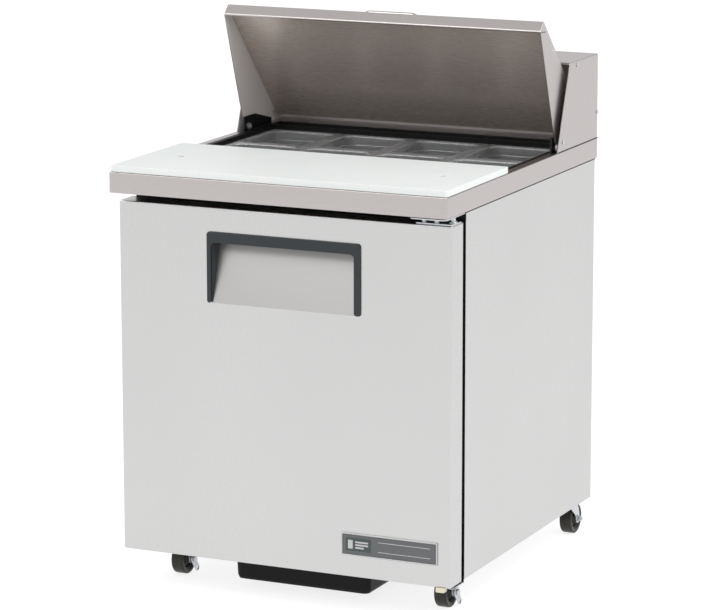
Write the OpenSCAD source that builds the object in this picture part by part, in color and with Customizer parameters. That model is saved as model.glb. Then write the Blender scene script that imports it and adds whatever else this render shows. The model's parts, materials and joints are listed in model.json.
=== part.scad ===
// Sandwich prep table: a one-door refrigerated base on casters, a stainless countertop
// with a cold rail of food pans, a cutting board, and an insulated lid that swings
// back into a rear hood. Millimetres. +Z is up, the door faces -Y.
// Depths are given from the countertop's front edge and heights from the floor.

/* [Overall] */
// Width of the countertop
counter_w = 702; // [698:1:712]
// Depth of the countertop from front edge to rear
counter_d = 766; // [764:1:770]
// Height of the working surface above the floor
counter_z = 826; // [822:1:830]
// Height of the countertop's front and side edges
counter_edge = 40; // [38:1:41]

/* [Cabinet] */
// How far the cabinet sides stand in from the countertop's edges
side_inset = 4.5; // [4:0.5:5]
// Depth at which the cabinet box starts, behind the door
cabinet_front = 98; // [98:1:100]
// Height of the cabinet's underside above the floor
cabinet_z = 78; // [78:0.5:80]
// Thickness of the sheet metal
sheet = 1.2; // [1:0.1:1.2]

/* [Door] */
// Depth of the door's front face
door_front = 31; // [30:1:31]
// Thickness of the door without its gasket
door_t = 52; // [51:1:53]
// Height of the door's bottom edge above the floor
door_z0 = 76; // [75.5:0.5:76]
// Gap between the countertop's edge and the door's top
door_top_gap = 18.7; // [18:0.1:19]

/* [Door handle] */
// Outside width of the handle surround
grip_w = 325; // [300:1:340]
// Outside height of the handle surround
grip_h = 140; // [130:1:150]
// Height of the bar that the fingers pull
grip_bar = 21; // [18:1:24]
// Width of the surround's two legs
grip_leg = 13; // [11:1:15]
// Depth of the finger pocket under the bar
pocket_depth = 34; // [28:1:36]

/* [Cutting board] */
// Depth of the board from front to back
board_d = 297; // [292:1:297]
// Thickness of the board
board_t = 12.7; // [10:0.1:13]

/* [Cold rail] */
// Width of one food pan over its rim
pan_w = 160.4; // [158:0.1:160.6]
// Depth of one food pan over its rim, front to back
pan_d = 175.4; // [172:0.1:175.6]
// Height of a food pan
pan_h = 100; // [60:5:100]

/* [Lid and hood] */
// Height of the hood above the working surface
hood_h = 172; // [172:1:174]
// Angle that the lid has been opened by
lid_open = 70.5; // [0:0.5:70.5]

/* [Casters] */
// Diameter of the caster wheels
wheel_dia = 63; // [60:1:63]
// Width of the caster wheels
wheel_w = 26; // [20:1:26]
// Distance from the swivel axis back to the wheel's axle
trail = 26.5; // [25:0.5:28]

/* [Hidden] */
gap = 0.3; // between faces of parts that move past each other
fit = 0.05; // radial clearance of a pin in its bore
eps = 0.5; // overshoot of a cut past the face that it opens
hw = counter_w / 2;
side_x = hw - side_inset;
inner_x = side_x - sheet;
edge_z = counter_z - counter_edge;
wheel_r = wheel_dia / 2;

// casters
front_stem = [283, 133];
rear_stem = [306, 730];
stem_r = 5;
axle_r = 4;
crown_z = 70; // top of the fork
// the row's origin lies midway between the front edge and the rear wheels
y_mid = (rear_stem[1] + trail + wheel_r) / 2;

// door
door_x = hw - 4;
door_z1 = edge_z - door_top_gap;
door_rear = door_front + door_t;
hinge = [338, 57]; // axis of the door's hinges
hinge_r = 5;
leaf_t = 3;

// handle surround and pocket
grip_z1 = counter_z - 105;
grip_z0 = grip_z1 - grip_h;
grip_proud = 4;
pocket_x = grip_w / 2 - grip_leg;
pocket_z1 = grip_z1 - 4;
bar_z = grip_z1 - grip_bar;

// wall cavities
cavity_x = 298.5;
cavity_back = 598.5;
cavity_z0 = 128;
cavity_z1 = 740;
rail_cavity_x = 316;
rail_cavity_z0 = 690;
rail_cavity_y = [292, 712];
liner_t = 1.5;
breaker_t = 14;

// machine bay at the cabinet's rear
bay_front = 640;
bay_z1 = 600;
grille_x = 310;
grille_z = [92, 590];
line_z = 560; // height at which the refrigerant line crosses the wall

// cold rail
rail_x = 334;
rail_y = [302, 706];
ledge_z = counter_z - 12;
pan_cols = 4;
pan_rows = 2;
pitch_x = 161;
pitch_y = 176;
pan_y0 = rail_y[0] + 1.8;
pan_top = ledge_z + 3 + gap;
pan_rim = 11;
pan_wall = 2.5;

// lid, drawn closed and then swung open about its pivots
pivot = [566, counter_z + 9];
lid_x = 342;
lid_front = 308; // depth of the lip's bottom edge when closed
lip_top = [297.5, counter_z + 25];
lid_back = [603.5, counter_z + 168];
lid_heel = [560, counter_z + 2];
liner_front = [322, counter_z + 27.5];
liner_back = [598, counter_z + 141];
pivot_r = 4;
bracket_x = 335;

// hood profile
hood_foot = 545;
hood_brow = 610;

SIDES = ["left", "right"];
ENDS = ["front", "rear"];

// ---------- shared shapes ----------

// moves a part from depths counted from the front edge to the row's frame
module placed() {
    translate([0, -y_mid, 0]) children();
}

// a box from its lowest to its highest corner
module block(x, y, z) {
    translate([x[0], y[0], z[0]]) cube([x[1] - x[0], y[1] - y[0], z[1] - z[0]]);
}

// a stretch from a to b, counted from z
function span(z, a, b) = [z + a, z + b];

// a box centred on the middle plane
module mid_block(half, y, z) {
    block([-half, half], y, z);
}

module both_sides() {
    children();
    mirror([1, 0, 0]) children();
}

// a side view outline (depth, height) made solid from x[0] to x[1]
module side_shape(points, x) {
    translate([x[0], 0, 0]) rotate([90, 0, 90]) linear_extrude(x[1] - x[0]) polygon(points);
}

// a round bar along X, Y or Z, from its lowest end
module rod_x(r, x, y, z) {
    translate([x[0], y, z]) rotate([0, 90, 0]) cylinder(r = r, h = x[1] - x[0], $fn = 48);
}

module rod_y(r, x, y, z) {
    translate([x, y[1], z]) rotate([90, 0, 0]) cylinder(r = r, h = y[1] - y[0], $fn = 48);
}

module rod_z(r, x, y, z) {
    translate([x, y, z[0]]) cylinder(r = r, h = z[1] - z[0], $fn = 48);
}

// a flat rectangle with round corners, centred
module round_rect(w, d, r) {
    square([w - 2 * r, d], center = true);
    square([w, d - 2 * r], center = true);
    for (x = [-1, 1])
        for (y = [-1, 1])
            translate([x * (w / 2 - r), y * (d / 2 - r)]) circle(r = r, $fn = 32);
}

// an open tray of sheet: outside box, wall thickness, corner radius
module tray(w, d, h, wall, r) {
    difference() {
        linear_extrude(h) round_rect(w, d, r);
        translate([0, 0, wall])
            linear_extrude(h) round_rect(w - 2 * wall, d - 2 * wall, max(r - wall, 1));
    }
}

// the point at distance t to the right of the line from a to b, abreast of p
function beside(a, b, p, t) =
    let (u = (b - a) / norm(b - a)) p + t * [u[1], -u[0]];

// a sheet of thickness t in side view, along the line from a to b and on its right
module sheet_along(a, b, t, x) {
    side_shape([a, b, beside(a, b, b, t), beside(a, b, a, t)], x);
}

// swings the lid's parts from closed to open
module opened() {
    placed() translate([0, pivot[0], pivot[1]]) rotate([-lid_open, 0, 0])
        translate([0, -pivot[0], -pivot[1]]) children();
}

// ---------- countertop and cold rail ----------

flange_w = 16;
flange_t = 1.5;
peg_x = 275;
peg_y = 152;
peg_r = 6;

// inverted sheet tray with a turned-in bottom flange and two pressed-in board pegs
module countertop() {
    placed() color("gainsboro") {
        difference() {
            mid_block(hw, [0, counter_d], [edge_z, counter_z]);
            mid_block(hw - flange_t, [flange_t, counter_d - flange_t],
                [edge_z + flange_t, counter_z - flange_t]);
            mid_block(hw - flange_w, [flange_w, counter_d - flange_w],
                [edge_z - eps, edge_z + flange_t + eps]);
            mid_block(rail_x, rail_y, [counter_z - flange_t - eps, counter_z + eps]);
        }
        both_sides() rod_z(peg_r, peg_x, peg_y, [counter_z, counter_z + board_t - 4]);
    }
}

// black frame that lines the opening and carries the rims of the pans
module rail_liner() {
    ledge = 10.5;
    pan_back = pan_y0 + pan_rows * pitch_y;
    placed() color("#17181a") difference() {
        mid_block(rail_x, rail_y, [edge_z, counter_z]);
        mid_block(rail_x - ledge, [rail_y[0] + 1, pan_back + 1], [ledge_z, counter_z + eps]);
        mid_block(rail_x - 2 * ledge, [rail_y[0] + ledge, pan_back - ledge],
            [edge_z - eps, counter_z]);
        mid_block(rail_x - ledge, [pan_back + 8, rail_y[1] - 8],
            [counter_z - 6, counter_z + eps]);
    }
}

// adapter bars under the joints between the pans
module divider_bars() {
    bar_w = 14;
    half_x = rail_x - 21;
    z = [ledge_z - 7, ledge_z];
    y_front = rail_y[0] + 10.5;
    y_back = pan_y0 + pan_rows * pitch_y - 10.5;
    y_bar = pan_y0 + pitch_y;
    placed() color("silver") {
        mid_block(half_x, [y_bar - bar_w / 2, y_bar + bar_w / 2], z);
        for (i = [-1:1])
            block([i * pitch_x - bar_w / 2, i * pitch_x + bar_w / 2], [y_front, y_back], z);
    }
}

// one food pan: a deep tray under a flat rim
module food_pan(col, row) {
    x = (col - (pan_cols - 1) / 2) * pitch_x;
    y = pan_y0 + (row + 0.5) * pitch_y;
    body_w = pan_w - 2 * pan_rim;
    body_d = pan_d - 2 * pan_rim;
    placed() color("lightcyan") translate([x, y, pan_top - pan_h]) {
        tray(body_w, body_d, pan_h, pan_wall, 22);
        translate([0, 0, pan_h - pan_wall]) linear_extrude(pan_wall) difference() {
            round_rect(pan_w, pan_d, 8);
            round_rect(body_w - 2, body_d - 2, 21);
        }
    }
}

// polyethylene slab with two holes that drop over the pegs
module cutting_board() {
    hole_r = peg_r + 1;
    z = [counter_z + gap, counter_z + gap + board_t];
    placed() color("white") difference() {
        mid_block(hw - 1.7, [1.7, 1.7 + board_d], z);
        both_sides() rod_z(hole_r, peg_x, peg_y, [z[0] - eps, z[1] + eps]);
    }
}

// ---------- cabinet ----------

// outer wrapper: both sides and the back, bent from sheet
module cabinet_shell() {
    placed() color("lightgray") difference() {
        mid_block(side_x, [cabinet_front, counter_d], [cabinet_z, edge_z]);
        mid_block(inner_x, [cabinet_front - eps, counter_d - sheet],
            [cabinet_z - eps, edge_z + eps]);
        mid_block(grille_x - 10, [counter_d - sheet - eps, counter_d + eps],
            [grille_z[0] + 8, grille_z[1] - 8]);
    }
}

// bottom sheet
module base_panel() {
    placed() color("darkgray")
        mid_block(inner_x, [cabinet_front, counter_d - sheet], [cabinet_z, cabinet_z + sheet]);
}

// black plastic frame round the door opening, on which the gasket seals
module breaker_frame() {
    placed() color("#1b1c1e") difference() {
        mid_block(inner_x, [cabinet_front, cabinet_front + breaker_t],
            [cabinet_z + sheet, edge_z]);
        mid_block(288, [cabinet_front - eps, cabinet_front + breaker_t + eps], [136, 738]);
    }
}

// the cooled space, grown by g on its closed sides
module cavity(g) {
    front = cabinet_front + breaker_t;
    mid_block(cavity_x + g, [front, cavity_back + g], [cavity_z0 - g, cavity_z1 + g]);
    mid_block(rail_cavity_x + g, [rail_cavity_y[0] - g, rail_cavity_y[1] + g],
        [rail_cavity_z0 - g, edge_z]);
}

// inner lining, open to the door at the front and to the cold rail above
module interior_liner() {
    front = cabinet_front + breaker_t;
    placed() color("gainsboro") difference() {
        cavity(liner_t);
        cavity(0);
        mid_block(cavity_x, [front - eps, front + eps], [cavity_z0, cavity_z1]);
        mid_block(rail_cavity_x, rail_cavity_y, [edge_z - eps, edge_z + eps]);
        rod_y(5, suction_x, [cavity_back - eps, cavity_back + liner_t + eps], line_z);
    }
}

// foamed-in insulation of the floor, walls and ceiling
module wall_insulation() {
    front = cabinet_front + breaker_t;
    back = counter_d - sheet;
    placed() color("wheat") difference() {
        mid_block(inner_x, [front, back], [cabinet_z + sheet, edge_z]);
        cavity(liner_t);
        mid_block(cavity_x, [front - eps, front + eps], [cavity_z0, cavity_z1]);
        mid_block(rail_cavity_x, rail_cavity_y, [edge_z - eps, edge_z + eps]);
        mid_block(inner_x + eps, [bay_front, back + eps], [cabinet_z, bay_z1]);
        // way through for the suction and liquid lines
        rod_y(9, suction_x, [cavity_back, bay_front + eps], line_z);
    }
}

// upright strips that the shelf clips hook into
pilaster_y = [170, 460];

module shelf_pilasters() {
    placed() color("silver") both_sides() for (y = pilaster_y)
        block([cavity_x - 4, cavity_x], [y - 8, y + 8], [180, 640]);
}

shelf_z = 360;
shelf_x = 279;
frame_r = 3;

module shelf_clips() {
    top = shelf_z - frame_r - gap;
    placed() color("gainsboro") both_sides() for (y = pilaster_y)
        side_shape([[y - 6, top], [y + 6, top], [y + 6, top - 14], [y - 2, top - 14]],
            [shelf_x, cavity_x - 4]);
}

// coated wire shelf: a round-bar frame with a row of wires across it
module wire_shelf() {
    y = [130, 496];
    wires = 21;
    wire_r = 1.75;
    cross_y = [y[0] + 122, y[1] - 122];
    placed() color("white") {
        both_sides() rod_y(frame_r, shelf_x, y, shelf_z);
        for (v = y) {
            rod_x(frame_r, [-shelf_x, shelf_x], v, shelf_z);
            both_sides() translate([shelf_x, v, shelf_z]) sphere(r = frame_r, $fn = 32);
        }
        for (v = cross_y) rod_x(frame_r - 0.5, [-shelf_x, shelf_x], v, shelf_z);
        for (i = [1:wires]) rod_y(wire_r, -shelf_x + i * 2 * shelf_x / (wires + 1), y, shelf_z);
    }
}

// ---------- refrigeration inside the cabinet ----------

evap_x = [-215, 215];
evap_y = [505, cavity_back];
evap_z = [430, 600];
evap_fan = [-115, 515];
evap_fan_r = 58;
knob = [165, 560];

// sheet cover with a fan opening, air slots, the fan's motor and the knob's stem
module evaporator_housing() {
    motor_y = evap_y[0] + 34;
    placed() color("gainsboro") {
        difference() {
            block(evap_x, evap_y, evap_z);
            block(evap_x + [sheet, -sheet], [evap_y[0] + sheet, evap_y[1] + eps],
                evap_z + [sheet, -sheet]);
            rod_y(evap_fan_r + 4, evap_fan[0], [evap_y[0] - eps, evap_y[0] + 3], evap_fan[1]);
            for (i = [0:6])
                block([-10, 130], [evap_y[0] - eps, evap_y[0] + 3], [450 + i * 18, 458 + i * 18]);
        }
        rod_y(22, evap_fan[0], [motor_y, evap_y[1] - 30], evap_fan[1]);
        rod_y(3, evap_fan[0], [evap_y[0] + 6, motor_y + eps], evap_fan[1]);
        block([evap_fan[0] - 6, evap_fan[0] + 6], [evap_y[1] - 34, evap_y[1] - 28],
            evap_z + [sheet, -sheet] / 2);
        rod_y(3, knob[0], [evap_y[0] - 14, evap_y[0] + eps], knob[1]);
    }
}

// finned block: plates on a row of tubes
module fin_block(x, y, z, pitch, tubes) {
    fins = floor((x[1] - x[0]) / pitch);
    for (i = [0:fins]) block([x[0] + i * pitch, x[0] + i * pitch + 1], y, z);
    for (k = [1:tubes])
        rod_x(4.5, x + [-6, 8], (y[0] + y[1]) / 2, z[0] + k * (z[1] - z[0]) / (tubes + 1));
}

module evaporator_coil() {
    placed() color("silver")
        fin_block([-30, 130], [535, 590], evap_z + [sheet, -sheet], 8, 4);
}

// hub with pitched blades on a bore of its own
module fan(r, depth, blades, bore) {
    rotate([90, 0, 0]) difference() {
        union() {
            cylinder(r = r * 0.3, h = depth, center = true, $fn = 48);
            for (i = [0:blades - 1]) rotate([0, 0, i * 360 / blades])
                translate([r * 0.6, 0, 0]) rotate([32, 0, 0])
                    cube([r * 0.76, r * 0.5, 1.6], center = true);
        }
        cylinder(r = bore, h = depth + 2, center = true, $fn = 48);
    }
}

module evaporator_fan() {
    placed() color("dimgray") translate([evap_fan[0], evap_y[0] + 18, evap_fan[1]])
        fan(evap_fan_r - 6, 16, 5, 3 + fit);
}

// thermostat dial on the housing's front
module control_knob() {
    placed() color("#26282b") difference() {
        union() {
            rod_y(17, knob[0], [evap_y[0] - 16, evap_y[0] - 1], knob[1]);
            block([knob[0] - 3, knob[0] + 3], [evap_y[0] - 22, evap_y[0] - 15],
                [knob[1] - 15, knob[1] + 15]);
        }
        rod_y(3 + fit, knob[0], [evap_y[0] - 14 - gap, evap_y[0]], knob[1]);
    }
}

// ---------- machine bay ----------

dome_h = 41.6; // height of the compressor's flattened dome
dome_top = cabinet_z + 110 + dome_h;
suction_x = -172;
fan_axis = [120, 215];
cond_y = [736, 760];
shroud_y = 726;

// welded dome on a base plate with feet
module compressor() {
    x = -190;
    y = 700;
    r = 52;
    placed() color("#202224") {
        block([x - 75, x + 75], [y - 48, y + 48], [cabinet_z + sheet, cabinet_z + 14]);
        rod_z(r, x, y, [cabinet_z + 10, cabinet_z + 110]);
        translate([x, y, cabinet_z + 110]) intersection() {
            sphere(r = r, $fn = 64);
            translate([-r, -r, 0]) cube([2 * r, 2 * r, dome_h]);
        }
    }
}

module condenser_coil() {
    placed() color("darkgray") fin_block([0, 236], cond_y, [cabinet_z + sheet, 325], 7, 6);
}

// plate with the fan's opening, and the fan's motor on a strap behind it
module condenser_shroud() {
    z = [cabinet_z + sheet, 330];
    placed() color("dimgray") {
        difference() {
            block([-8, 252], [shroud_y, shroud_y + 2], z);
            rod_y(94, fan_axis[0], [shroud_y - eps, shroud_y + 3], fan_axis[1]);
        }
        rod_y(32, fan_axis[0], [650, 690], fan_axis[1]);
        rod_y(3, fan_axis[0], [689, 716], fan_axis[1]);
        block([fan_axis[0] - 12, fan_axis[0] + 12], [646, 651], [z[0], fan_axis[1] + 20]);
        block([fan_axis[0] - 12, fan_axis[0] + 12], [646, shroud_y + eps], span(z[0], 0, 4));
    }
}

module condenser_fan() {
    placed() color("silver") translate([fan_axis[0], 705, fan_axis[1]])
        fan(86, 16, 5, 3 + fit);
}

// bent copper lines between the compressor, the condenser and the evaporator
module refrigerant_lines() {
    r = 4;
    suction = [[suction_x, 560, line_z], [suction_x, 700, line_z], [suction_x, 700, dome_top]];
    liquid = [[-205, 700, dome_top], [-205, 700, 350], [-10, 700, 350], [-10, 748, 350],
        [-10, 748, 300]];
    placed() color("peru") for (line = [suction, liquid])
        for (i = [0:len(line) - 2]) {
            run = line[i + 1] - line[i];
            tilt = acos(run[2] / norm(run));
            turn = atan2(run[1], run[0]);
            translate(line[i]) rotate([0, tilt, turn]) cylinder(r = r, h = norm(run), $fn = 24);
            if (i > 0) translate(line[i]) sphere(r = r, $fn = 24);
        }
}

// screwed-on back cover with rows of air slots
module rear_grille() {
    slots = 17;
    slot_z = 24;
    placed() color("silver") difference() {
        mid_block(grille_x, [counter_d, counter_d + 1.5], grille_z);
        for (k = [0:slots - 1]) both_sides()
            block([30, 250], [counter_d - eps, counter_d + 2],
                span(grille_z[0] + 38 + k * slot_z, 0, 12));
        rod_y(gland_hole_r + gap, gland[0], [counter_d - eps, counter_d + 2], gland[1]);
    }
}

gland = [280, 112];
gland_r = 6;
gland_hole_r = 9;

// strain relief bush that the supply cord passes through
module cord_gland() {
    placed() color("#1a1a1a") difference() {
        union() {
            rod_y(14, gland[0], [counter_d + 1.5, counter_d + 9.5], gland[1]);
            rod_y(gland_hole_r, gland[0], [counter_d - 6.5, counter_d + 2], gland[1]);
            rod_y(13, gland[0], [counter_d - 6.5, counter_d - sheet], gland[1]);
        }
        rod_y(gland_r, gland[0], [counter_d - 8, counter_d + 11], gland[1]);
    }
}

// evaporation tray slung below the base
module condensate_pan() {
    y = [106, 408];
    z = 17;
    placed() color("#18181a") translate([0, (y[0] + y[1]) / 2, z])
        tray(290, y[1] - y[0], cabinet_z - z, 3, 12);
}

// ---------- hood ----------

module hood_shell() {
    top = counter_z + hood_h;
    foot = [hood_foot, counter_z];
    brow = [hood_brow, top];
    placed() color("silver") {
        both_sides()
            side_shape([foot, brow, [counter_d, top], [counter_d, counter_z]], [hw - sheet, hw]);
        mid_block(hw - sheet / 2, [hood_brow, counter_d], [top - sheet, top]);
        mid_block(hw - sheet / 2, [counter_d - sheet, counter_d], [counter_z, top - sheet / 2]);
    }
}

// pan-head screws through the hood's sides
module hood_screws() {
    head = 1.2;
    spots = [[649, counter_z + 163], [576, counter_z + 19], [761, counter_z + 54]];
    placed() color("silver") both_sides() for (p = spots)
        rod_x(4, [hw, hw + head], p[0], p[1]);
}

// ---------- lid ----------

// upright plates on the countertop that carry the lid's pivots
module lid_hinge_brackets() {
    back = 674;
    x = [bracket_x, bracket_x + 3];
    placed() color("silver") both_sides() difference() {
        side_shape([[545, counter_z], [549, counter_z + 30], [600, counter_z + 30],
            [back, counter_z + 12], [back, counter_z]], x);
        rod_x(pivot_r + fit, x + [-eps, eps], pivot[0], pivot[1]);
    }
}

// shoulder bolts through the lid's cheeks, with a nut inside each bracket
module lid_pivot_bolts() {
    placed() color("gainsboro") both_sides() {
        rod_x(pivot_r, [bracket_x - 5, lid_x + eps], pivot[0], pivot[1]);
        rod_x(7.5, [lid_x, lid_x + 4], pivot[0], pivot[1]);
        rod_x(7.5, [bracket_x - 5, bracket_x - gap], pivot[0], pivot[1]);
    }
}

// folded outer sheet: top, front lip, end wall and two cheeks
module lid_skin() {
    lip_foot = [lid_front, counter_z + 2];
    x = [-lid_x, lid_x];
    ear_r = 8; // round end of a cheek about its pivot
    opened() color("silver") {
        both_sides() difference() {
            union() {
                side_shape([lip_foot, lip_top, lid_back, lid_heel], [lid_x - sheet, lid_x]);
                rod_x(ear_r, [lid_x - sheet, lid_x], pivot[0], pivot[1]);
            }
            rod_x(pivot_r, [lid_x - 3, lid_x + 3], pivot[0], pivot[1]);
        }
        sheet_along(lip_top, lid_back, sheet, x);
        sheet_along(lip_foot, lip_top, sheet, x);
        sheet_along(lid_back, liner_back, sheet, x);
        sheet_along(lip_foot + [12, 0], lip_foot, sheet, x);
    }
}

// bright inner sheet, parallel to the outer one
module lid_liner() {
    half = lid_x - sheet;
    opened() color("dimgray")
        sheet_along(liner_front, liner_back + [-1.4, -0.6], sheet, [-half, half]);
}

// foam between the two sheets
module lid_insulation() {
    half = lid_x - sheet;
    t = sheet + 0.05;
    over = beside(lip_top, lid_back, lip_top, t);
    under = beside(lip_top, lid_back, lid_back, t);
    opened() color("wheat")
        side_shape([over + [6, 2.8], under + [-3, -1.4], liner_back + [-4, -1], liner_front + [2, 1.4]],
            [-half, half]);
}

// chrome pull on two posts
module lid_handle() {
    reach = 56;
    height = 24;
    along = 0.1;
    r = 5;
    slope = atan2(lid_back[1] - lip_top[1], lid_back[0] - lip_top[0]);
    base = lip_top + along * (lid_back - lip_top);
    opened() color("gainsboro") translate([0, base[0], base[1]]) rotate([slope, 0, 0]) {
        rod_x(r, [-reach, reach], 0, height);
        both_sides() {
            rod_z(r, reach, 0, [0, height]);
            translate([reach, 0, height]) sphere(r = r, $fn = 32);
        }
    }
}

// ---------- door ----------

// the finger pocket's outline in side view, grown by g
module pocket_shape(g, x) {
    back = door_front + pocket_depth;
    foot = [door_front, grip_z0 + 2];
    heel = [back, bar_z];
    side_shape([foot - [eps, 0], beside(foot, heel, foot, g), beside(foot, heel, heel, g),
        [back + g, bar_z], [back + g, pocket_z1 + g], [door_front - eps, pocket_z1 + g]], x);
}

// outer sheet wrapped round the four edges
module door_skin() {
    placed() color("lightgray") difference() {
        mid_block(door_x, [door_front, door_rear - sheet], [door_z0, door_z1]);
        mid_block(door_x - sheet, [door_front + sheet, door_rear + eps],
            [door_z0 + sheet, door_z1 - sheet]);
        pocket_shape(0, [-pocket_x, pocket_x]);
        rod_z(8, hinge[0], hinge[1], [door_z0 - eps, door_z0 + 2]);
        rod_z(8, hinge[0], hinge[1], [door_z1 - 2, door_z1 + eps]);
    }
}

module door_liner() {
    placed() color("gainsboro")
        mid_block(door_x, [door_rear - sheet, door_rear], [door_z0, door_z1]);
}

module door_insulation() {
    half = door_x - sheet;
    placed() color("wheat") difference() {
        mid_block(half, [door_front + sheet, door_rear - sheet],
            [door_z0 + sheet, door_z1 - sheet]);
        pocket_shape(sheet, [-pocket_x, pocket_x]);
        rod_z(8, hinge[0], hinge[1], [door_z0, door_z0 + 22]);
        rod_z(8, hinge[0], hinge[1], [door_z1 - 32, door_z1]);
        block([298, half], [38, 76], [door_z0, door_z0 + sheet + leaf_t]);
    }
}

// hollow magnetic seal on the door's back
module door_gasket() {
    y = [door_rear, cabinet_front - 0.4];
    outer = 335;
    w = 30;
    z = [door_z0 + 12, door_z1 - 12];
    placed() color("#1d1e20") difference() {
        mid_block(outer, y, z);
        mid_block(outer - w, y + [-eps, eps], z + [w, -w]);
    }
}

// black inverted U round the pocket: finger bar, two legs and the pocket's cheeks
module handle_surround() {
    half = grip_w / 2;
    front = door_front - grip_proud;
    r = 5;
    placed() color("#3c4044") {
        block([-half + r, half - r], [front, door_front], [bar_z, grip_z1]);
        block([-half, half], [front, door_front], [bar_z, grip_z1 - r]);
        both_sides() {
            block([pocket_x, half], [front, door_front], [grip_z0 + r, bar_z]);
            block([pocket_x + r, half - r], [front, door_front], [grip_z0, grip_z0 + r]);
            rod_y(r, half - r, [front, door_front], grip_z1 - r);
            rod_y(r, half - r, [front, door_front], grip_z0 + r);
            rod_y(r, pocket_x + r, [front, door_front], grip_z0 + r);
            pocket_cheek();
        }
        // the bar's inner lip, behind which the fingers curl
        mid_block(pocket_x, [front, door_front + 6], [bar_z, pocket_z1]);
    }
}

// side wall of the pocket, just inside the opening
module pocket_cheek() {
    back = door_front + pocket_depth;
    side_shape([[door_front - eps, grip_z0 + 4], [back - 0.4, bar_z], [back - 0.4, pocket_z1],
        [door_front - eps, pocket_z1]], [pocket_x - 2, pocket_x]);
}

// sloping sheet at the back of the pocket, and its roof
module handle_pocket() {
    x = [-pocket_x, pocket_x];
    placed() color("silver") difference() {
        pocket_shape(sheet, x);
        pocket_shape(0, x + [-eps, eps]);
        mid_block(pocket_x + eps, [door_front - 2 * eps, door_front + sheet], [grip_z0, grip_z1]);
    }
}

// blank badge: raised rim round a recessed field with a small tile on it
module nameplate() {
    x = [122, 320.5];
    z = span(counter_z, -708, -663.5);
    rim = 3;
    placed() color("dimgray") {
        difference() {
            block(x, [door_front - 3, door_front], z);
            block(x + [rim, -rim], [door_front - 4, door_front - 1.2], z + [rim, -rim]);
        }
        block([132, 190.5], [door_front - 2.2, door_front - 1],
            span(counter_z, -699, -674));
    }
}

// fixed plates that hold the hinge pins, above and below the door
module door_hinge_brackets() {
    top = [edge_z - leaf_t, edge_z];
    bottom = [door_z0 - 5, door_z0 - 2];
    face = [cabinet_front - leaf_t, cabinet_front];
    placed() color("gainsboro") {
        block([262, 346], [6, cabinet_front], top);
        block([262, 346], face, [door_z1 + 1, edge_z]);
        rod_z(9, hinge[0], hinge[1], [door_z1 + leaf_t + 5.5, edge_z]);
        rod_z(hinge_r, hinge[0], hinge[1], [door_z1 - 26, edge_z]);
        block([322, 346], [42, cabinet_front], bottom);
        block([322, 346], face, [bottom[0], door_z0 + 10]);
        rod_z(hinge_r, hinge[0], hinge[1], [bottom[0], door_z0 + 14]);
    }
}

// plates fixed to the door that turn on the pins, and the self-closing cam
module door_hinge_leaves() {
    half = door_x - sheet;
    top = [door_z1, door_z1 + leaf_t];
    bottom = span(door_z0 + sheet, 0, leaf_t);
    bore = hinge_r + fit;
    placed() color("gainsboro") difference() {
        union() {
            block([270, door_x - 1], [36, 80], top);
            rod_z(9, hinge[0], hinge[1], [top[0], top[1] + 5]);
            block([284, 300], [40, 56], [top[0], top[1] + 9]);
            block([300, half], [40, 74], bottom);
        }
        rod_z(bore, hinge[0], hinge[1], [top[0] - eps, top[1] + 6]);
        rod_z(bore, hinge[0], hinge[1], bottom + [-eps, eps]);
    }
}

// ---------- casters ----------

function stem(end) = end == 0 ? front_stem : rear_stem;

// top plates, bearing races and kingpins of all four casters
module caster_plates() {
    half = 30;
    placed() color("silver") both_sides() for (e = [0, 1]) {
        x = stem(e)[0];
        y = stem(e)[1];
        block([x - half, x + half], [y - half, y + half], [cabinet_z - 4, cabinet_z]);
        rod_z(17, x, y, [crown_z + gap, cabinet_z - 3]);
        rod_z(stem_r, x, y, [crown_z - 12, cabinet_z - 3]);
    }
}

fork_t = 3;
fork_x = wheel_w / 2 + 1;

// folded fork with the axle riveted through its legs
module fork_shape() {
    leg = [[-14, crown_z], [20, crown_z], [trail + 9, wheel_r + 2], [trail + 5, wheel_r - 8],
        [trail - 5, wheel_r - 8], [trail - 9, wheel_r + 2]];
    difference() {
        union() {
            mid_block(fork_x + fork_t, [-14, 20], [crown_z - fork_t, crown_z]);
            rod_z(18, 0, 0, [crown_z - fork_t, crown_z]);
            both_sides() side_shape(leg, [fork_x, fork_x + fork_t]);
        }
        rod_z(stem_r + fit, 0, 0, [crown_z - 6, crown_z + eps]);
    }
    rod_x(axle_r, [-fork_x - fork_t - 5, fork_x + fork_t + 8], trail, wheel_r);
    both_sides() rod_x(7, [fork_x + fork_t, fork_x + fork_t + 3], trail, wheel_r);
}

// tyre, web and hub turned as one profile, bored for the axle
module wheel_shape() {
    half = wheel_w / 2;
    tread = wheel_r;
    round_r = 4;
    rotate([0, 90, 0]) rotate_extrude($fn = 96) {
        difference() {
            translate([axle_r + fit, -half]) square([tread - axle_r - fit, wheel_w]);
            for (s = [-1, 1]) {
                translate([11, s * half - 3]) square([11, 6]);
                translate([tread - round_r, s * (half - round_r) - (s < 0 ? round_r + 1 : 0)])
                    square(round_r + 1);
            }
        }
        for (s = [-1, 1]) translate([tread - round_r, s * (half - round_r)])
            circle(r = round_r, $fn = 32);
    }
}

// toe lever that turns on the front wheel's axle and presses a pad on the tyre
module brake_shape() {
    x = fork_x + fork_t + 3 + gap;
    far = x + 3;
    nose = [trail + 12, 8.5];
    difference() {
        union() {
            rod_x(10.5, [x, far], trail, wheel_r);
            side_shape([[trail + 3, wheel_r - 9], [trail + 10, wheel_r], [nose[0] + 8, nose[1] + 3],
                [nose[0] - 1, nose[1] + 1]], [x, far]);
            rod_x(7, [x, far], nose[0] + 3, nose[1] + 1);
        }
        rod_x(axle_r + fit, [x - eps, far + eps], trail, wheel_r);
        rod_x(3.5, [x - eps, far + eps], nose[0] + 3, nose[1] + 1);
    }
}

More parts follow.
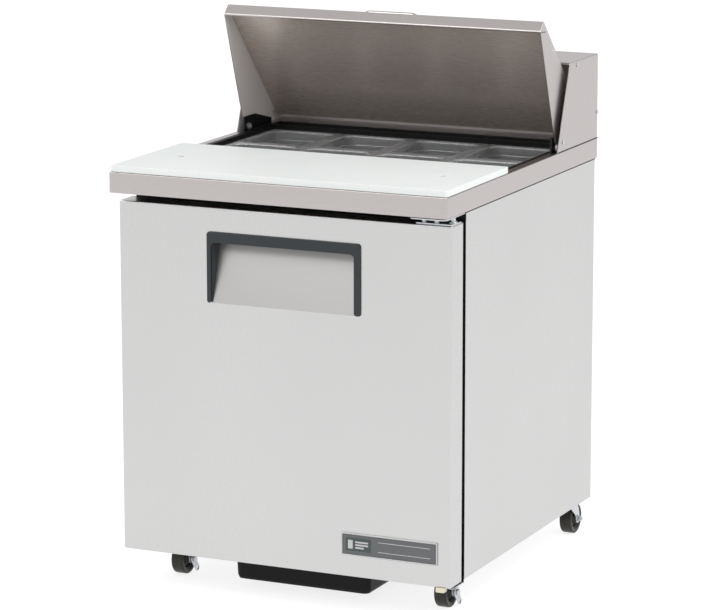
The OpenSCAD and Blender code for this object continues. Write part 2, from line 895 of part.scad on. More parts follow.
module at_stem(end, side) {
    placed() translate([(side == 0 ? -1 : 1) * stem(end)[0], stem(end)[1], 0]) children();
}

module caster_fork(end, side) {
    color("silver") at_stem(end, side) fork_shape();
}

module caster_wheel(end, side) {
    color("#26241f") at_stem(end, side) translate([0, trail, wheel_r]) wheel_shape();
}

module brake_pedal(side) {
    color("lightgray") at_stem(0, side) brake_shape();
}

// ---------- the assembly ----------

countertop();
cabinet_shell();
base_panel();
interior_liner();
wall_insulation();
breaker_frame();
rail_liner();
divider_bars();
hood_shell();
hood_screws();
lid_hinge_brackets();
evaporator_housing();
evaporator_coil();
evaporator_fan();
control_knob();
compressor();
condenser_coil();
condenser_shroud();
condenser_fan();
refrigerant_lines();
rear_grille();
cord_gland();
condensate_pan();
shelf_pilasters();
shelf_clips();
wire_shelf();
door_skin();
door_liner();
door_insulation();
door_gasket();
handle_surround();
handle_pocket();
nameplate();
door_hinge_brackets();
door_hinge_leaves();
lid_skin();
lid_liner();
lid_insulation();
lid_handle();
lid_pivot_bolts();
cutting_board();
caster_plates();
for (e = [0, 1]) for (c = [1:pan_cols])
    food_pan(c - 1, e);
for (e = [0, 1]) for (s = [0, 1]) {
    caster_fork(e, s);
    caster_wheel(e, s);
}
for (s = [0, 1])
    brake_pedal(s);
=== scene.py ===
"""Looks of the sandwich prep table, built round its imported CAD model.

Sizes are in millimetres. A place is (x, d, z): x from the middle plane, d from the
countertop's front edge and z from the floor.
"""

import json
import math

import bmesh
import bpy
from mathutils import Matrix, Vector


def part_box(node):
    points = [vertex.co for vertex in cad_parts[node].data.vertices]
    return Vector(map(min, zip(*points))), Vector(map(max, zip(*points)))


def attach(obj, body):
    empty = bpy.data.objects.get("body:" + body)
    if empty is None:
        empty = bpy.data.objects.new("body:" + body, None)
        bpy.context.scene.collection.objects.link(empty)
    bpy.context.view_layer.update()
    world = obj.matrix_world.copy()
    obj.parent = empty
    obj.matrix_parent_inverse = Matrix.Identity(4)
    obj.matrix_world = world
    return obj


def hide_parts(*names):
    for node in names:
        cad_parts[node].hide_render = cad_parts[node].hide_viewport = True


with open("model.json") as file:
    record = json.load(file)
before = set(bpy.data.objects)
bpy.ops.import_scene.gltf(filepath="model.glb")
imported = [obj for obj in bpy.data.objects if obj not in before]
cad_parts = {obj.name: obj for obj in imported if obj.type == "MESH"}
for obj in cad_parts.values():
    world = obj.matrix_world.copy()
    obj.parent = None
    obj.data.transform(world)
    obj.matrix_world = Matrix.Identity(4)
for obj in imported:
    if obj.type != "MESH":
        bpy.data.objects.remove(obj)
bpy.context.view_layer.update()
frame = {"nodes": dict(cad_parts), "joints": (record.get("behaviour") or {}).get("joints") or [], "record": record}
scene = bpy.context.scene

MM = 0.001
FRONT_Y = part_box("countertop")[0].y
TAU = 2 * math.pi
ENDS = ("front", "rear")
SIDES = ("left", "right")


def at(x, d, z):
    """A place in millimetres as a point of the row's frame."""
    return Vector((x * MM, d * MM + FRONT_Y, z * MM))


def size_of(node):
    """((x0, d0, z0), (x1, d1, z1)) of a CAD node, in millimetres."""
    return [(p.x / MM, (p.y - FRONT_Y) / MM, p.z / MM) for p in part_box(node)]


def centre_of(node):
    lo, hi = size_of(node)
    return tuple((a + b) / 2 for a, b in zip(lo, hi))


def joint_place(name):
    """Where a joint's axis is, as (x, d, z)."""
    x, y, z = JOINTS[name]["pos_m"]
    return x / MM, (y - FRONT_Y) / MM, z / MM


# ---------- driving dimensions, taken from the frame ----------

COUNTER = size_of("countertop")
HALF_W = COUNTER[1][0]
COUNTER_D = COUNTER[1][1]
EDGE_Z = COUNTER[0][2]
COUNTER_Z = size_of("hood_shell")[0][2]
SHELL = size_of("cabinet_shell")
SHEET = 1.2
JOINTS = {j["name"]: j for j in frame["joints"]}
LID_OPEN = math.radians(-JOINTS["lid_hinge"]["range_deg"][0])
PIVOT = joint_place("lid_hinge")[1:]
PEG = (275, 152)

# ---------- camera, light and floor ----------


def make_camera():
    azimuth, elevation, roll = (math.radians(a) for a in (24.695, 11.789, -0.076))
    back = Vector((math.sin(azimuth) * math.cos(elevation),
                   -math.cos(azimuth) * math.cos(elevation), math.sin(elevation)))
    right = Vector((math.cos(azimuth), math.sin(azimuth), 0))
    up = back.cross(right)
    tilted_right = math.cos(roll) * right + math.sin(roll) * up
    tilted_up = math.cos(roll) * up - math.sin(roll) * right
    data = bpy.data.cameras.new("camera")
    data.lens = 179.71
    data.sensor_width = 36
    data.clip_end = 200
    camera = bpy.data.objects.new("camera", data)
    camera.matrix_world = Matrix.LocRotScale(
        Vector((2.8596, -6.2546, 1.9576)),
        Matrix((tilted_right, tilted_up, back)).transposed().to_quaternion(), None)
    scene.collection.objects.link(camera)
    scene.camera = camera


def area_light(name, place, aim, width, watts):
    data = bpy.data.lights.new(name, "AREA")
    data.shape = "SQUARE"
    data.size = width
    data.energy = watts
    lamp = bpy.data.objects.new(name, data)
    lamp.location = place
    lamp.rotation_mode = "QUATERNION"
    lamp.rotation_quaternion = (Vector(aim) - Vector(place)).to_track_quat("-Z", "Y")
    scene.collection.objects.link(lamp)


def make_studio():
    """White surroundings, seen brighter than they light, two soft lamps and a floor."""
    scene.view_settings.view_transform = "Standard"
    world = bpy.data.worlds.new("studio")
    scene.world = world
    world.use_nodes = True
    tree = world.node_tree
    tree.nodes["Background"].inputs["Color"].default_value = (1, 1, 1, 1)
    seen = tree.nodes.new("ShaderNodeLightPath").outputs["Is Camera Ray"]
    glow = tree.nodes.new("ShaderNodeMath")
    glow.operation = "MULTIPLY_ADD"
    tree.links.new(seen, glow.inputs[0])
    glow.inputs[1].default_value = 0.30
    glow.inputs[2].default_value = 0.80
    tree.links.new(glow.outputs[0], tree.nodes["Background"].inputs["Strength"])
    area_light("key", (-1.2, -2.6, 3.2), (0, -0.2, 0.4), 2.4, 52)
    area_light("side", (2.0, -0.3, 2.1), (0.5, 0, 0.2), 1.6, 29)
    bm = bmesh.new()
    bmesh.ops.create_grid(bm, x_segments=8, y_segments=8, size=40)
    mesh = bpy.data.meshes.new("floor")
    bm.to_mesh(mesh)
    bm.free()
    floor = bpy.data.objects.new("floor", mesh)
    scene.collection.objects.link(floor)
    mesh.materials.append(floor_material())


# ---------- materials ----------


class Shader:
    """A node material with a Principled shader and a few shortcuts."""

    def __init__(self, name, **values):
        self.material = bpy.data.materials.new(name)
        self.material.use_nodes = True
        self.tree = self.material.node_tree
        self.surface = self.tree.nodes["Principled BSDF"]
        self.coords = self.node("ShaderNodeTexCoord").outputs["Object"]
        for key, value in values.items():
            self.set(key.replace("_", " "), value)

    def node(self, kind, **settings):
        made = self.tree.nodes.new(kind)
        for key, value in settings.items():
            setattr(made, key, value)
        return made

    def link(self, out, into):
        self.tree.links.new(out, into)

    def set(self, socket, value):
        if isinstance(value, tuple) and len(value) == 3:
            value = (*value, 1)
        self.surface.inputs[socket].default_value = value

    def noise(self, scale, detail=3.0, stretch=(1, 1, 1), roughness=0.5):
        """Noise in the piece's own space, stretched along its axes; returns its factor."""
        mapping = self.node("ShaderNodeMapping")
        mapping.inputs["Scale"].default_value = stretch
        self.link(self.coords, mapping.inputs["Vector"])
        texture = self.node("ShaderNodeTexNoise")
        texture.inputs["Scale"].default_value = scale
        texture.inputs["Detail"].default_value = detail
        texture.inputs["Roughness"].default_value = roughness
        self.link(mapping.outputs["Vector"], texture.inputs["Vector"])
        return texture.outputs["Fac"]

    def ranged(self, factor, low, high, start=0.3, end=0.7):
        """The factor's stretch from start to end, spread over low to high."""
        node = self.node("ShaderNodeMapRange")
        for key, value in (("From Min", start), ("From Max", end), ("To Min", low), ("To Max", high)):
            node.inputs[key].default_value = value
        self.link(factor, node.inputs["Value"])
        return node.outputs["Result"]

    def mixed(self, factor, colour_a, colour_b):
        node = self.node("ShaderNodeMix", data_type="RGBA")
        self.link(factor, node.inputs["Factor"])
        for socket, colour in (("A", colour_a), ("B", colour_b)):
            target = [s for s in node.inputs if s.name == socket and s.type == "RGBA"][0]
            if isinstance(colour, tuple):
                target.default_value = (*colour, 1)
            else:
                self.link(colour, target)
        return [s for s in node.outputs if s.type == "RGBA"][0]

    def added(self, a, b, operation="ADD"):
        node = self.node("ShaderNodeMath", operation=operation)
        for socket, value in zip(node.inputs, (a, b)):
            if isinstance(value, (int, float)):
                socket.default_value = value
            else:
                self.link(value, socket)
        return node.outputs[0]

    def bump(self, height, strength, depth):
        node = self.node("ShaderNodeBump")
        node.inputs["Strength"].default_value = strength
        node.inputs["Distance"].default_value = depth * MM
        self.link(height, node.inputs["Height"])
        self.link(node.outputs["Normal"], self.surface.inputs["Normal"])

    def finish(self, colour, roughness):
        self.link(colour, self.surface.inputs["Base Color"])
        self.link(roughness, self.surface.inputs["Roughness"])

    def edges(self):
        """1 along rounded edges, 0 on the flats; broken up by noise."""
        attribute = self.node("ShaderNodeAttribute", attribute_name="edge")
        patches = self.ranged(self.noise(90, 4), 0, 1, 0.42, 0.62)
        return self.added(attribute.outputs["Fac"], patches, "MULTIPLY")


def shades(colour, factor):
    return tuple(min(1, c * factor) for c in colour)


def floor_material():
    """Pale studio floor. Most of its light is its own glow, which keeps the shadows on it soft."""
    s = Shader("studio_floor", Roughness=0.9, Emission_Color=(1.0, 1.0, 1.0), Emission_Strength=0.82)
    s.link(s.mixed(s.noise(0.35, 2), (0.27, 0.27, 0.27), (0.29, 0.29, 0.29)),
           s.surface.inputs["Base Color"])
    return s.material


def brushed(name, colour, rough, grain=(1, 1, 0.02), depth=0.01, metal=1.0):
    """Brushed sheet: fine stretched grain, faint smears, and edges polished by wear."""
    s = Shader(name, Metallic=metal)
    lines = s.noise(2600, 2, grain)
    smears = s.noise(3, 1, (1, 1, 0.6))
    tone = s.mixed(s.ranged(lines, 0, 1), shades(colour, 0.98), shades(colour, 1.02))
    tone = s.mixed(s.ranged(smears, 0, 0.35, 0.4, 0.75), tone, shades(colour, 0.975))
    s.finish(s.mixed(s.added(s.edges(), 0.3, "MULTIPLY"), tone, shades(colour, 1.12)),
             s.added(s.ranged(lines, rough - 0.03, rough + 0.03),
                     s.ranged(smears, -0.012, 0.02, 0.35, 0.75)))
    s.bump(lines, 0.12, depth)
    return s.material


def plated(name, colour, rough, blotch=14):
    """Zinc plate or plain bright metal with cloudy patches."""
    s = Shader(name, Metallic=1.0)
    cloud = s.noise(blotch, 5)
    fine = s.noise(420, 2)
    tone = s.mixed(s.ranged(cloud, 0, 1), shades(colour, 0.88), shades(colour, 1.06))
    s.finish(s.mixed(s.edges(), tone, shades(colour, 1.25)),
             s.added(s.ranged(cloud, rough - 0.06, rough + 0.08), s.ranged(fine, -0.03, 0.03)))
    s.bump(fine, 0.15, 0.03)
    return s.material


def moulded(name, colour, rough, grain=900, depth=0.03, scuff=1.5, gloss=0.5):
    """Moulded plastic with a fine grain and edges rubbed a little paler."""
    s = Shader(name, Specular_IOR_Level=gloss)
    texture = s.noise(grain, 3)
    cloud = s.noise(9, 3)
    tone = s.mixed(s.ranged(cloud, 0, 1), shades(colour, 0.92), shades(colour, 1.08))
    s.finish(s.mixed(s.edges(), tone, shades(colour, scuff)),
             s.added(s.ranged(texture, rough - 0.04, rough + 0.04), s.ranged(cloud, -0.03, 0.05)))
    s.bump(texture, 0.3, depth)
    return s.material


def board_material():
    """Pebbled white polyethylene with light knife marks, and its rounded edges painted paler as a highlight."""
    s = Shader("board_polyethylene", Subsurface_Weight=0.12, Specular_IOR_Level=0.3)
    s.set("Subsurface Scale", 0.004)
    knife = s.noise(160, 3, (1, 0.06, 1))
    marks = s.ranged(knife, 1, 0, 0.60, 0.66)
    pebble = s.noise(1500, 2)
    tone = s.mixed(s.ranged(s.noise(6, 3), 0, 1), (0.66, 0.68, 0.672), (0.69, 0.708, 0.70))
    worn = s.mixed(marks, (0.67, 0.69, 0.68), tone)
    # the rounded edges are mixed towards a paler white: a painted highlight
    s.finish(s.mixed(s.added(s.edges(), 0.6, "MULTIPLY"), worn, (0.88, 0.89, 0.88)),
             s.ranged(pebble, 0.42, 0.55))
    s.bump(s.added(pebble, s.added(marks, 0.3, "MULTIPLY")), 0.2, 0.05)
    return s.material


def clear_material():
    s = Shader("clear_polycarbonate", Transmission_Weight=0.86, IOR=1.5)
    haze = s.noise(60, 4, (1, 1, 0.15))
    s.finish(s.mixed(s.ranged(s.noise(8, 2), 0, 1), (0.93, 0.95, 0.96), (0.97, 0.98, 0.985)),
             s.ranged(haze, 0.03, 0.16, 0.45, 0.75))
    s.bump(haze, 0.05, 0.05)
    return s.material


def rubber_material():
    s = Shader("caster_rubber", Specular_IOR_Level=0.35)
    dust = s.noise(120, 4)
    s.finish(s.mixed(s.ranged(dust, 0, 1, 0.45, 0.7), (0.014, 0.013, 0.009), (0.030, 0.028, 0.020)),
             s.ranged(dust, 0.28, 0.5))
    s.bump(s.noise(800, 2), 0.2, 0.05)
    return s.material


def foam_material():
    s = Shader("foam_cells")
    cell = s.node("ShaderNodeTexVoronoi")
    cell.inputs["Scale"].default_value = 700
    s.link(s.coords, cell.inputs["Vector"])
    cloud = s.noise(12, 4)
    s.finish(s.mixed(s.ranged(cloud, 0, 1), (0.74, 0.62, 0.34), (0.84, 0.75, 0.50)),
             s.ranged(cloud, 0.85, 0.95))
    s.bump(cell.outputs["Distance"], 0.5, 0.4)
    return s.material


def finned_material():
    s = Shader("aluminium_fins", Metallic=1.0)
    dust = s.noise(40, 4)
    s.finish(s.mixed(s.ranged(dust, 0, 1), (0.58, 0.59, 0.60), (0.74, 0.75, 0.76)),
             s.ranged(dust, 0.3, 0.5))
    return s.material


STEEL = (0.583, 0.580, 0.578)
WARM_STEEL = (0.497, 0.467, 0.46)
UPRIGHT = (1, 1, 0.02)
CROSSWISE = (0.02, 1, 1)
MATERIALS = {
    "steel": brushed("steel_brushed", STEEL, 0.30, UPRIGHT),
    "steel_cross": brushed("steel_brushed_across", WARM_STEEL, 0.30, CROSSWISE),
    "steel_pocket": brushed("steel_pocket", (0.44, 0.435, 0.43), 0.40, CROSSWISE),
    "steel_liner": brushed("steel_satin", (0.52, 0.51, 0.50), 0.26, CROSSWISE, 0.01),
    "lid_inside": brushed("steel_dull", (0.86, 0.82, 0.80), 0.40, CROSSWISE, 0.01, 0.35),
    "mirror_liner": brushed("steel_bright", (0.49, 0.425, 0.385), 0.27, CROSSWISE, 0.01, 0.36),
    "base_sheet": plated("galvanised_sheet", (0.42, 0.43, 0.44), 0.42, 40),
    "grille_sheet": brushed("cover_sheet", (0.52, 0.52, 0.52), 0.36, CROSSWISE),
    "foam": foam_material(),
    "black_plastic": moulded("black_moulding", (0.008, 0.008, 0.008), 0.42, gloss=0.12),
    "handle_plastic": moulded("handle_moulding", (0.027, 0.031, 0.034), 0.42, 1300, 0.04, 1.3, 0.28),
    "gasket": moulded("gasket_vinyl", (0.012, 0.012, 0.012), 0.50, 500, 0.02, gloss=0.2),
    "badge": moulded("badge_field", (0.10, 0.105, 0.11), 0.30, 1500, 0.01),
    "badge_rim": plated("badge_rim", (0.50, 0.50, 0.50), 0.30),
    "badge_tile": moulded("badge_tile", (0.045, 0.06, 0.06), 0.25, 1500, 0.01),
    "zinc": plated("zinc_plate", (0.60, 0.62, 0.64), 0.30),
    "zinc_black": plated("black_zinc_plate", (0.035, 0.035, 0.037), 0.45),
    "chrome_pull": plated("chrome_plate", (0.52, 0.51, 0.50), 0.15, 30),
    "coated_wire": moulded("wire_coating", (0.72, 0.73, 0.73), 0.30, 500, 0.02, 0.8),
    "board": board_material(),
    "clear_pan": clear_material(),
    "caster_rubber": rubber_material(),
    "caster_hub": moulded("caster_centre", (0.05, 0.05, 0.045), 0.45, gloss=0.3),
    "coil_fins": finned_material(),
    "fan_plastic": moulded("fan_moulding", (0.05, 0.05, 0.055), 0.42),
    "evaporator_white": moulded("cover_enamel", (0.72, 0.72, 0.71), 0.35, 700, 0.02, 0.9),
    "fan_metal": plated("fan_sheet", (0.60, 0.61, 0.62), 0.38),
    "compressor_paint": moulded("compressor_enamel", (0.018, 0.018, 0.02), 0.32, 350, 0.05),
    "shroud_paint": moulded("shroud_enamel", (0.07, 0.07, 0.075), 0.40, 350, 0.05),
    "copper": plated("copper_tube", (0.70, 0.36, 0.22), 0.32),
    "cream": moulded("hinge_bush", (0.62, 0.58, 0.44), 0.45),
}
SLOT_OF = {s["node"]: s["material_slot"] for s in frame["record"]["subparts"]}
BODY_OF = {n: b for b, nodes in frame["record"]["behaviour"]["bodies"].items() for n in nodes}

# ---------- mesh helpers ----------


def link_piece(name, bm, material, nodes, body=None, sharp=32, thickness=None, inside=0):
    """Makes a smooth-shaded piece that stands for the CAD nodes and rides on their body. A sheet's
    inner side takes the material that is `inside` places further on."""
    mesh = bpy.data.meshes.new(name)
    bmesh.ops.recalc_face_normals(bm, faces=[f for f in bm.faces if thickness is None])
    bm.edges.index_update()
    rims = [e.index for e in bm.edges if e.is_boundary]
    bm.to_mesh(mesh)
    bm.free()
    for m in material if isinstance(material, list) else [material]:
        mesh.materials.append(MATERIALS[m])
    for polygon in mesh.polygons:
        polygon.use_smooth = True
    mesh.set_sharp_from_angle(angle=math.radians(sharp))
    for index in rims:
        mesh.edges[index].use_edge_sharp = True
    obj = bpy.data.objects.new(name, mesh)
    scene.collection.objects.link(obj)
    if thickness:
        solid = obj.modifiers.new("thickness", "SOLIDIFY")
        solid.thickness = thickness * MM
        solid.offset = -1
        solid.use_even_offset = True
        solid.use_quality_normals = True
        solid.material_offset = inside
    weighted = obj.modifiers.new("flat_faces", "WEIGHTED_NORMAL")
    weighted.keep_sharp = True
    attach(obj, body or BODY_OF[nodes[0]])
    if nodes:
        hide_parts(*nodes)
    return obj


def mark_edges(bm, rounded_faces):
    """Stores 1 at the points inside a rounded edge and 0 elsewhere, for wear and, on the board, a painted
    highlight.
    """
    layer = bm.verts.layers.float.get("edge") or bm.verts.layers.float.new("edge")
    inside = set(rounded_faces)
    for v in bm.verts:
        if v.link_faces and all(f in inside for f in v.link_faces):
            v[layer] = 1.0


def round_edges(bm, width, angle=30, segments=3, chosen=None):
    """Rounds the edges that turn by more than the angle."""
    limit = math.radians(angle)
    edges = [e for e in bm.edges if len(e.link_faces) == 2 and e.calc_face_angle() > limit]
    if chosen:
        edges = [e for e in edges if chosen(e)]
    made = bmesh.ops.bevel(bm, geom=edges, offset=width * MM, segments=segments, affect="EDGES",
                           profile=0.5, clamp_overlap=True, miter_outer="ARC")
    mark_edges(bm, made["faces"])


def eased_shape(node, width, segments=2):
    """The CAD node's own shape with its sharp edges rounded."""
    bm = bmesh.new()
    bm.from_mesh(frame["nodes"][node].data)
    bmesh.ops.remove_doubles(bm, verts=bm.verts, dist=2e-6)
    bmesh.ops.dissolve_limit(bm, angle_limit=math.radians(0.6), verts=bm.verts, edges=bm.edges)
    round_edges(bm, width, 30, segments)
    for f in bm.faces:
        f.material_index = 0
    return bm


def add_faces(bm, polygons):
    """Adds polygons of (x, d, z) corners, counter-clockwise from outside, joined where they meet."""
    for polygon in polygons:
        bm.faces.new([bm.verts.new(at(*corner)) for corner in polygon])
    bmesh.ops.remove_doubles(bm, verts=bm.verts, dist=2e-5)


def folded(polygons, radius, segments=4, angle=20):
    """An open sheet, bent from flat polygons with rounded folds; it gets its thickness inwards."""
    bm = bmesh.new()
    add_faces(bm, polygons)
    round_edges(bm, radius, angle, segments)
    return bm


def ring(outer, inner):
    """Four quads between an outer and an inner rectangle of matching corners."""
    return [[outer[i], outer[(i + 1) % 4], inner[(i + 1) % 4], inner[i]] for i in range(4)]


def arc(cx, cy, r, start, end, steps=6):
    """Points on a circle, from the start to the end angle in degrees."""
    turns = [math.radians(start + (end - start) * k / steps) for k in range(steps + 1)]
    return [(cx + r * math.cos(t), cy + r * math.sin(t)) for t in turns]


def rounded(x, y, r, steps=6):
    """Outline of a rectangle from x[0], y[0] to x[1], y[1] with round corners."""
    return (arc(x[1] - r, y[1] - r, r, 0, 90, steps) + arc(x[0] + r, y[1] - r, r, 90, 180, steps)
            + arc(x[0] + r, y[0] + r, r, 180, 270, steps) + arc(x[1] - r, y[0] + r, r, 270, 360, steps))


def skin(rings, place=at, closed=True):
    """A shape skinned over rings of as many points each; place makes a vector of a point."""
    bm = bmesh.new()
    rows = [[bm.verts.new(place(*p)) for p in points] for points in rings]
    n = len(rows[0])
    for a, b in zip(rows, rows[1:]):
        for i in range(n):
            bm.faces.new((a[i], a[(i + 1) % n], b[(i + 1) % n], b[i]))
    if closed:
        bm.faces.new(rows[0][::-1])
        bm.faces.new(rows[-1])
    return bm


def lathe(profile, steps=48):
    """Turns a profile of (radius, height) about Z; radius 0 ends close at a point."""
    bm = bmesh.new()
    rows = []
    for r, h in profile:
        if r == 0:
            rows.append([bm.verts.new((0, 0, h * MM))])
        else:
            rows.append([bm.verts.new((r * MM * math.cos(TAU * k / steps),
                                       r * MM * math.sin(TAU * k / steps), h * MM))
                         for k in range(steps)])
    for a, b in zip(rows, rows[1:]):
        for i in range(steps):
            corners = []
            for row, k in ((a, i), (a, i + 1), (b, i + 1), (b, i)):
                v = row[k % len(row)] if len(row) > 1 else row[0]
                if v not in corners:
                    corners.append(v)
            if len(corners) > 2:
                bm.faces.new(corners)
    return bm


def curve_mesh(curve):
    holder = bpy.data.objects.new("drawn", curve)
    bm = bmesh.new()
    mesh = bpy.data.meshes.new_from_object(holder)
    bm.from_mesh(mesh)
    bpy.data.objects.remove(holder)
    bpy.data.curves.remove(curve)
    bpy.data.meshes.remove(mesh)
    bmesh.ops.remove_doubles(bm, verts=bm.verts, dist=1e-6)
    return bm


def lifted(bm, height):
    """Lifts a shape that is still at its own origin."""
    bmesh.ops.translate(bm, verts=bm.verts, vec=(0, 0, height * MM))
    return bm


def plate(loops, thickness, ease=0.0, segments=2):
    """A flat plate in XY from z 0 to its thickness. The first loop is its outline and the rest are
    holes, as (u, v) points in millimetres; ease rounds the edges."""
    curve = bpy.data.curves.new("plate", "CURVE")
    curve.dimensions = "2D"
    curve.fill_mode = "BOTH"
    curve.extrude = (thickness / 2 - ease) * MM
    curve.bevel_depth = ease * MM
    curve.bevel_resolution = segments
    curve.offset = -ease * MM
    for number, loop in enumerate(loops):
        area = sum(a[0] * b[1] - b[0] * a[1] for a, b in zip(loop, loop[1:] + loop[:1]))
        points = loop if (area > 0) == (number == 0) else loop[::-1]
        spline = curve.splines.new("POLY")
        spline.points.add(len(points) - 1)
        for p, (u, v) in zip(spline.points, points):
            p.co = (u * MM, v * MM, 0, 1)
        spline.use_cyclic_u = True
    return lifted(curve_mesh(curve), thickness / 2)


def bent(start, corner, end, steps):
    """Points of the curve that rounds a corner between start and end."""
    turns = [k / steps for k in range(steps + 1)]
    return [(1 - t) ** 2 * start + 2 * t * (1 - t) * corner + t * t * end for t in turns]


def tube(points, radius, bend=0.0, sides=4, closed=False, steps=6, local=False):
    """A round bar along (x, d, z) points, its corners bent to the given radius. A local bar's points
    count from its own origin."""
    path = []
    for i, p in enumerate(points):
        p = Vector(p)
        if bend and 0 < i < len(points) - 1:
            a, b = (Vector(points[i - 1]) - p), (Vector(points[i + 1]) - p)
            half = a.angle(b) / 2
            reach = min(bend / math.tan(half), a.length * 0.49, b.length * 0.49)
            path += bent(p + a.normalized() * reach, p, p + b.normalized() * reach, steps)
        else:
            path.append(p)
    curve = bpy.data.curves.new("tube", "CURVE")
    curve.dimensions = "3D"
    curve.bevel_depth = radius * MM
    curve.bevel_resolution = sides
    curve.use_fill_caps = True
    spline = curve.splines.new("POLY")
    spline.points.add(len(path) - 1)
    for q, p in zip(spline.points, path):
        q.co = (*(Vector(p) * MM if local else at(*p)), 1)
    spline.use_cyclic_u = closed
    return curve_mesh(curve)


def moved(bm, place=(0, 0, 0), turn=()):
    """Turns a shape about its own axes, ("X", degrees) pairs in order, then puts its origin at place."""
    matrix = Matrix.Translation(at(*place))
    for axis, degrees in reversed(turn):
        matrix = matrix @ Matrix.Rotation(math.radians(degrees), 4, axis)
    bmesh.ops.transform(bm, matrix=matrix, verts=bm.verts)
    return bm


def joined(*shapes):
    """One shape from several; each may be a (shape, material index) pair."""
    whole = bmesh.new()
    for shape in shapes:
        part, index = shape if isinstance(shape, tuple) else (shape, 0)
        for f in part.faces:
            f.material_index = index
        mesh = bpy.data.meshes.new("part")
        part.to_mesh(mesh)
        part.free()
        whole.from_mesh(mesh)
        bpy.data.meshes.remove(mesh)
    return whole


def box_shape(x, d, z, width=0.5, segments=2):
    """A block from its lowest to its highest corner with rounded edges."""
    bm = bmesh.new()
    bmesh.ops.create_cube(bm, size=1)
    lo, hi = at(x[0], d[0], z[0]), at(x[1], d[1], z[1])
    bmesh.ops.transform(bm, verts=bm.verts, matrix=Matrix.Translation((lo + hi) / 2)
                        @ Matrix.Diagonal((*(hi - lo), 1)))
    if width:
        round_edges(bm, width, 30, segments)
    return bm


def opened(bm):
    """Swings a shape of the closed lid to the lid's open place."""
    centre = at(0, *PIVOT)
    turn = (Matrix.Translation(centre) @ Matrix.Rotation(-LID_OPEN, 4, "X")
            @ Matrix.Translation(-centre))
    bmesh.ops.transform(bm, matrix=turn, verts=bm.verts)
    return bm


def both_sides(near, far):
    """The stretches of x from near to far, left and right of the middle plane."""
    return ((-far, -near), (near, far))


def side_solid(points, x, width=0.5, segments=2):
    """A solid from its outline of (d, z) points in side view, between two x."""
    bm = skin([[(u, d, z) for d, z in points] for u in x])
    bmesh.ops.recalc_face_normals(bm, faces=bm.faces)
    if width:
        round_edges(bm, width, 30, segments)
    return bm


def strip(points, x, columns=1):
    """An open sheet along (d, z) points, as wide as x; its outside is on the points' left."""
    bm = bmesh.new()
    xs = [x[0] + (x[1] - x[0]) * k / columns for k in range(columns + 1)]
    rows = [[bm.verts.new(at(u, d, z)) for u in xs] for d, z in points]
    for a, b in zip(rows, rows[1:]):
        for k in range(columns):
            bm.faces.new((a[k], a[k + 1], b[k + 1], b[k]))
    return bm


def screw_head(radius, height):
    """A pan head with a cross recess, its seat at z 0."""
    arm, half = radius * 0.5, radius * 0.13
    cross = [(arm, -half), (arm, half), (half, half), (half, arm), (-half, arm), (-half, half),
             (-arm, half), (-arm, -half), (-half, -half), (-half, -arm), (half, -arm), (half, -half)]
    rim = arc(0, 0, radius, 0, 345, 23)
    floor = lathe([(0, 0), (arm * 1.2, 0), (arm * 1.2, 0.2), (0, 0.2)], 16)
    return joined(plate([rim, cross], height, height * 0.42, 3), floor)


def screws(xs, d, zs, size, facing, index):
    """Pan heads of one (radius, height) at every x and z, as (shape, material index) pairs."""
    return [(moved(screw_head(*size), (x, d, z), FACING[facing]), index) for x in xs for z in zs]


def hexagon(radius, height, bore=0.0):
    loops = [arc(0, 0, radius, 0, 300, 5)]
    if bore:
        loops.append(arc(0, 0, bore, 0, 345, 23))
    return plate(loops, height, 0.35)


FACING = {"back": (("X", -90),), "front": (("X", 90),), "side": (("X", 90), ("Z", 90))}


def circle(cx, cy, r, steps=48):
    return arc(cx, cy, r, 0, 360 - 360 / steps, steps - 1)


def ring_bar(centre, r, bar, steps=40):
    """A round bar bent to a circle that faces along d."""
    points = [(centre[0] + u, centre[1], centre[2] + v) for u, v in circle(0, 0, r, steps)]
    return tube(points, bar, sides=2, closed=True)


# ---------- countertop, hood and cabinet ----------


def rectangle(x, d, z, turned=False):
    """Corners of a level rectangle, counter-clockwise from above, or from below if turned."""
    corners = [(x[0], d[0], z), (x[1], d[0], z), (x[1], d[1], z), (x[0], d[1], z)]
    return [corners[0], corners[3], corners[2], corners[1]] if turned else corners


def walls(x, d, z, wanted="frbl"):
    """The upright sides of a box, outside out: front, right, back, left."""
    made = {
        "f": [(x[0], d[0], z[0]), (x[1], d[0], z[0]), (x[1], d[0], z[1]), (x[0], d[0], z[1])],
        "r": [(x[1], d[0], z[0]), (x[1], d[1], z[0]), (x[1], d[1], z[1]), (x[1], d[0], z[1])],
        "b": [(x[1], d[1], z[0]), (x[0], d[1], z[0]), (x[0], d[1], z[1]), (x[1], d[1], z[1])],
        "l": [(x[0], d[1], z[0]), (x[0], d[0], z[0]), (x[0], d[0], z[1]), (x[0], d[1], z[1])],
    }
    return [made[side] for side in wanted]


def make_countertop():
    rail = size_of("rail_liner")
    x, d = (-HALF_W, HALF_W), (0, COUNTER_D)
    hem = 18
    hole = rectangle((rail[0][0], rail[1][0]), (rail[0][1], rail[1][1]), COUNTER_Z)
    under = rectangle((x[0] + hem, x[1] - hem), (d[0] + hem, d[1] - hem), EDGE_Z, True)
    faces = ring(rectangle(x, d, COUNTER_Z), hole) + walls(x, d, (EDGE_Z, COUNTER_Z))
    faces += ring(rectangle(x, d, EDGE_Z, True), under)
    link_piece("countertop_sheet", folded(faces, 1.2), "steel_cross", ["countertop"], thickness=SHEET)
    peg_top = COUNTER[1][2] - COUNTER_Z
    profile = [(0, peg_top), (4.6, peg_top), (5.6, peg_top - 0.5), (6, peg_top - 1.4), (6, 0), (0, 0)]
    pegs = [moved(lathe(profile), (side * PEG[0], PEG[1], COUNTER_Z)) for side in (-1, 1)]
    link_piece("board_pegs", joined(*pegs), "zinc_black", [], "cabinet")


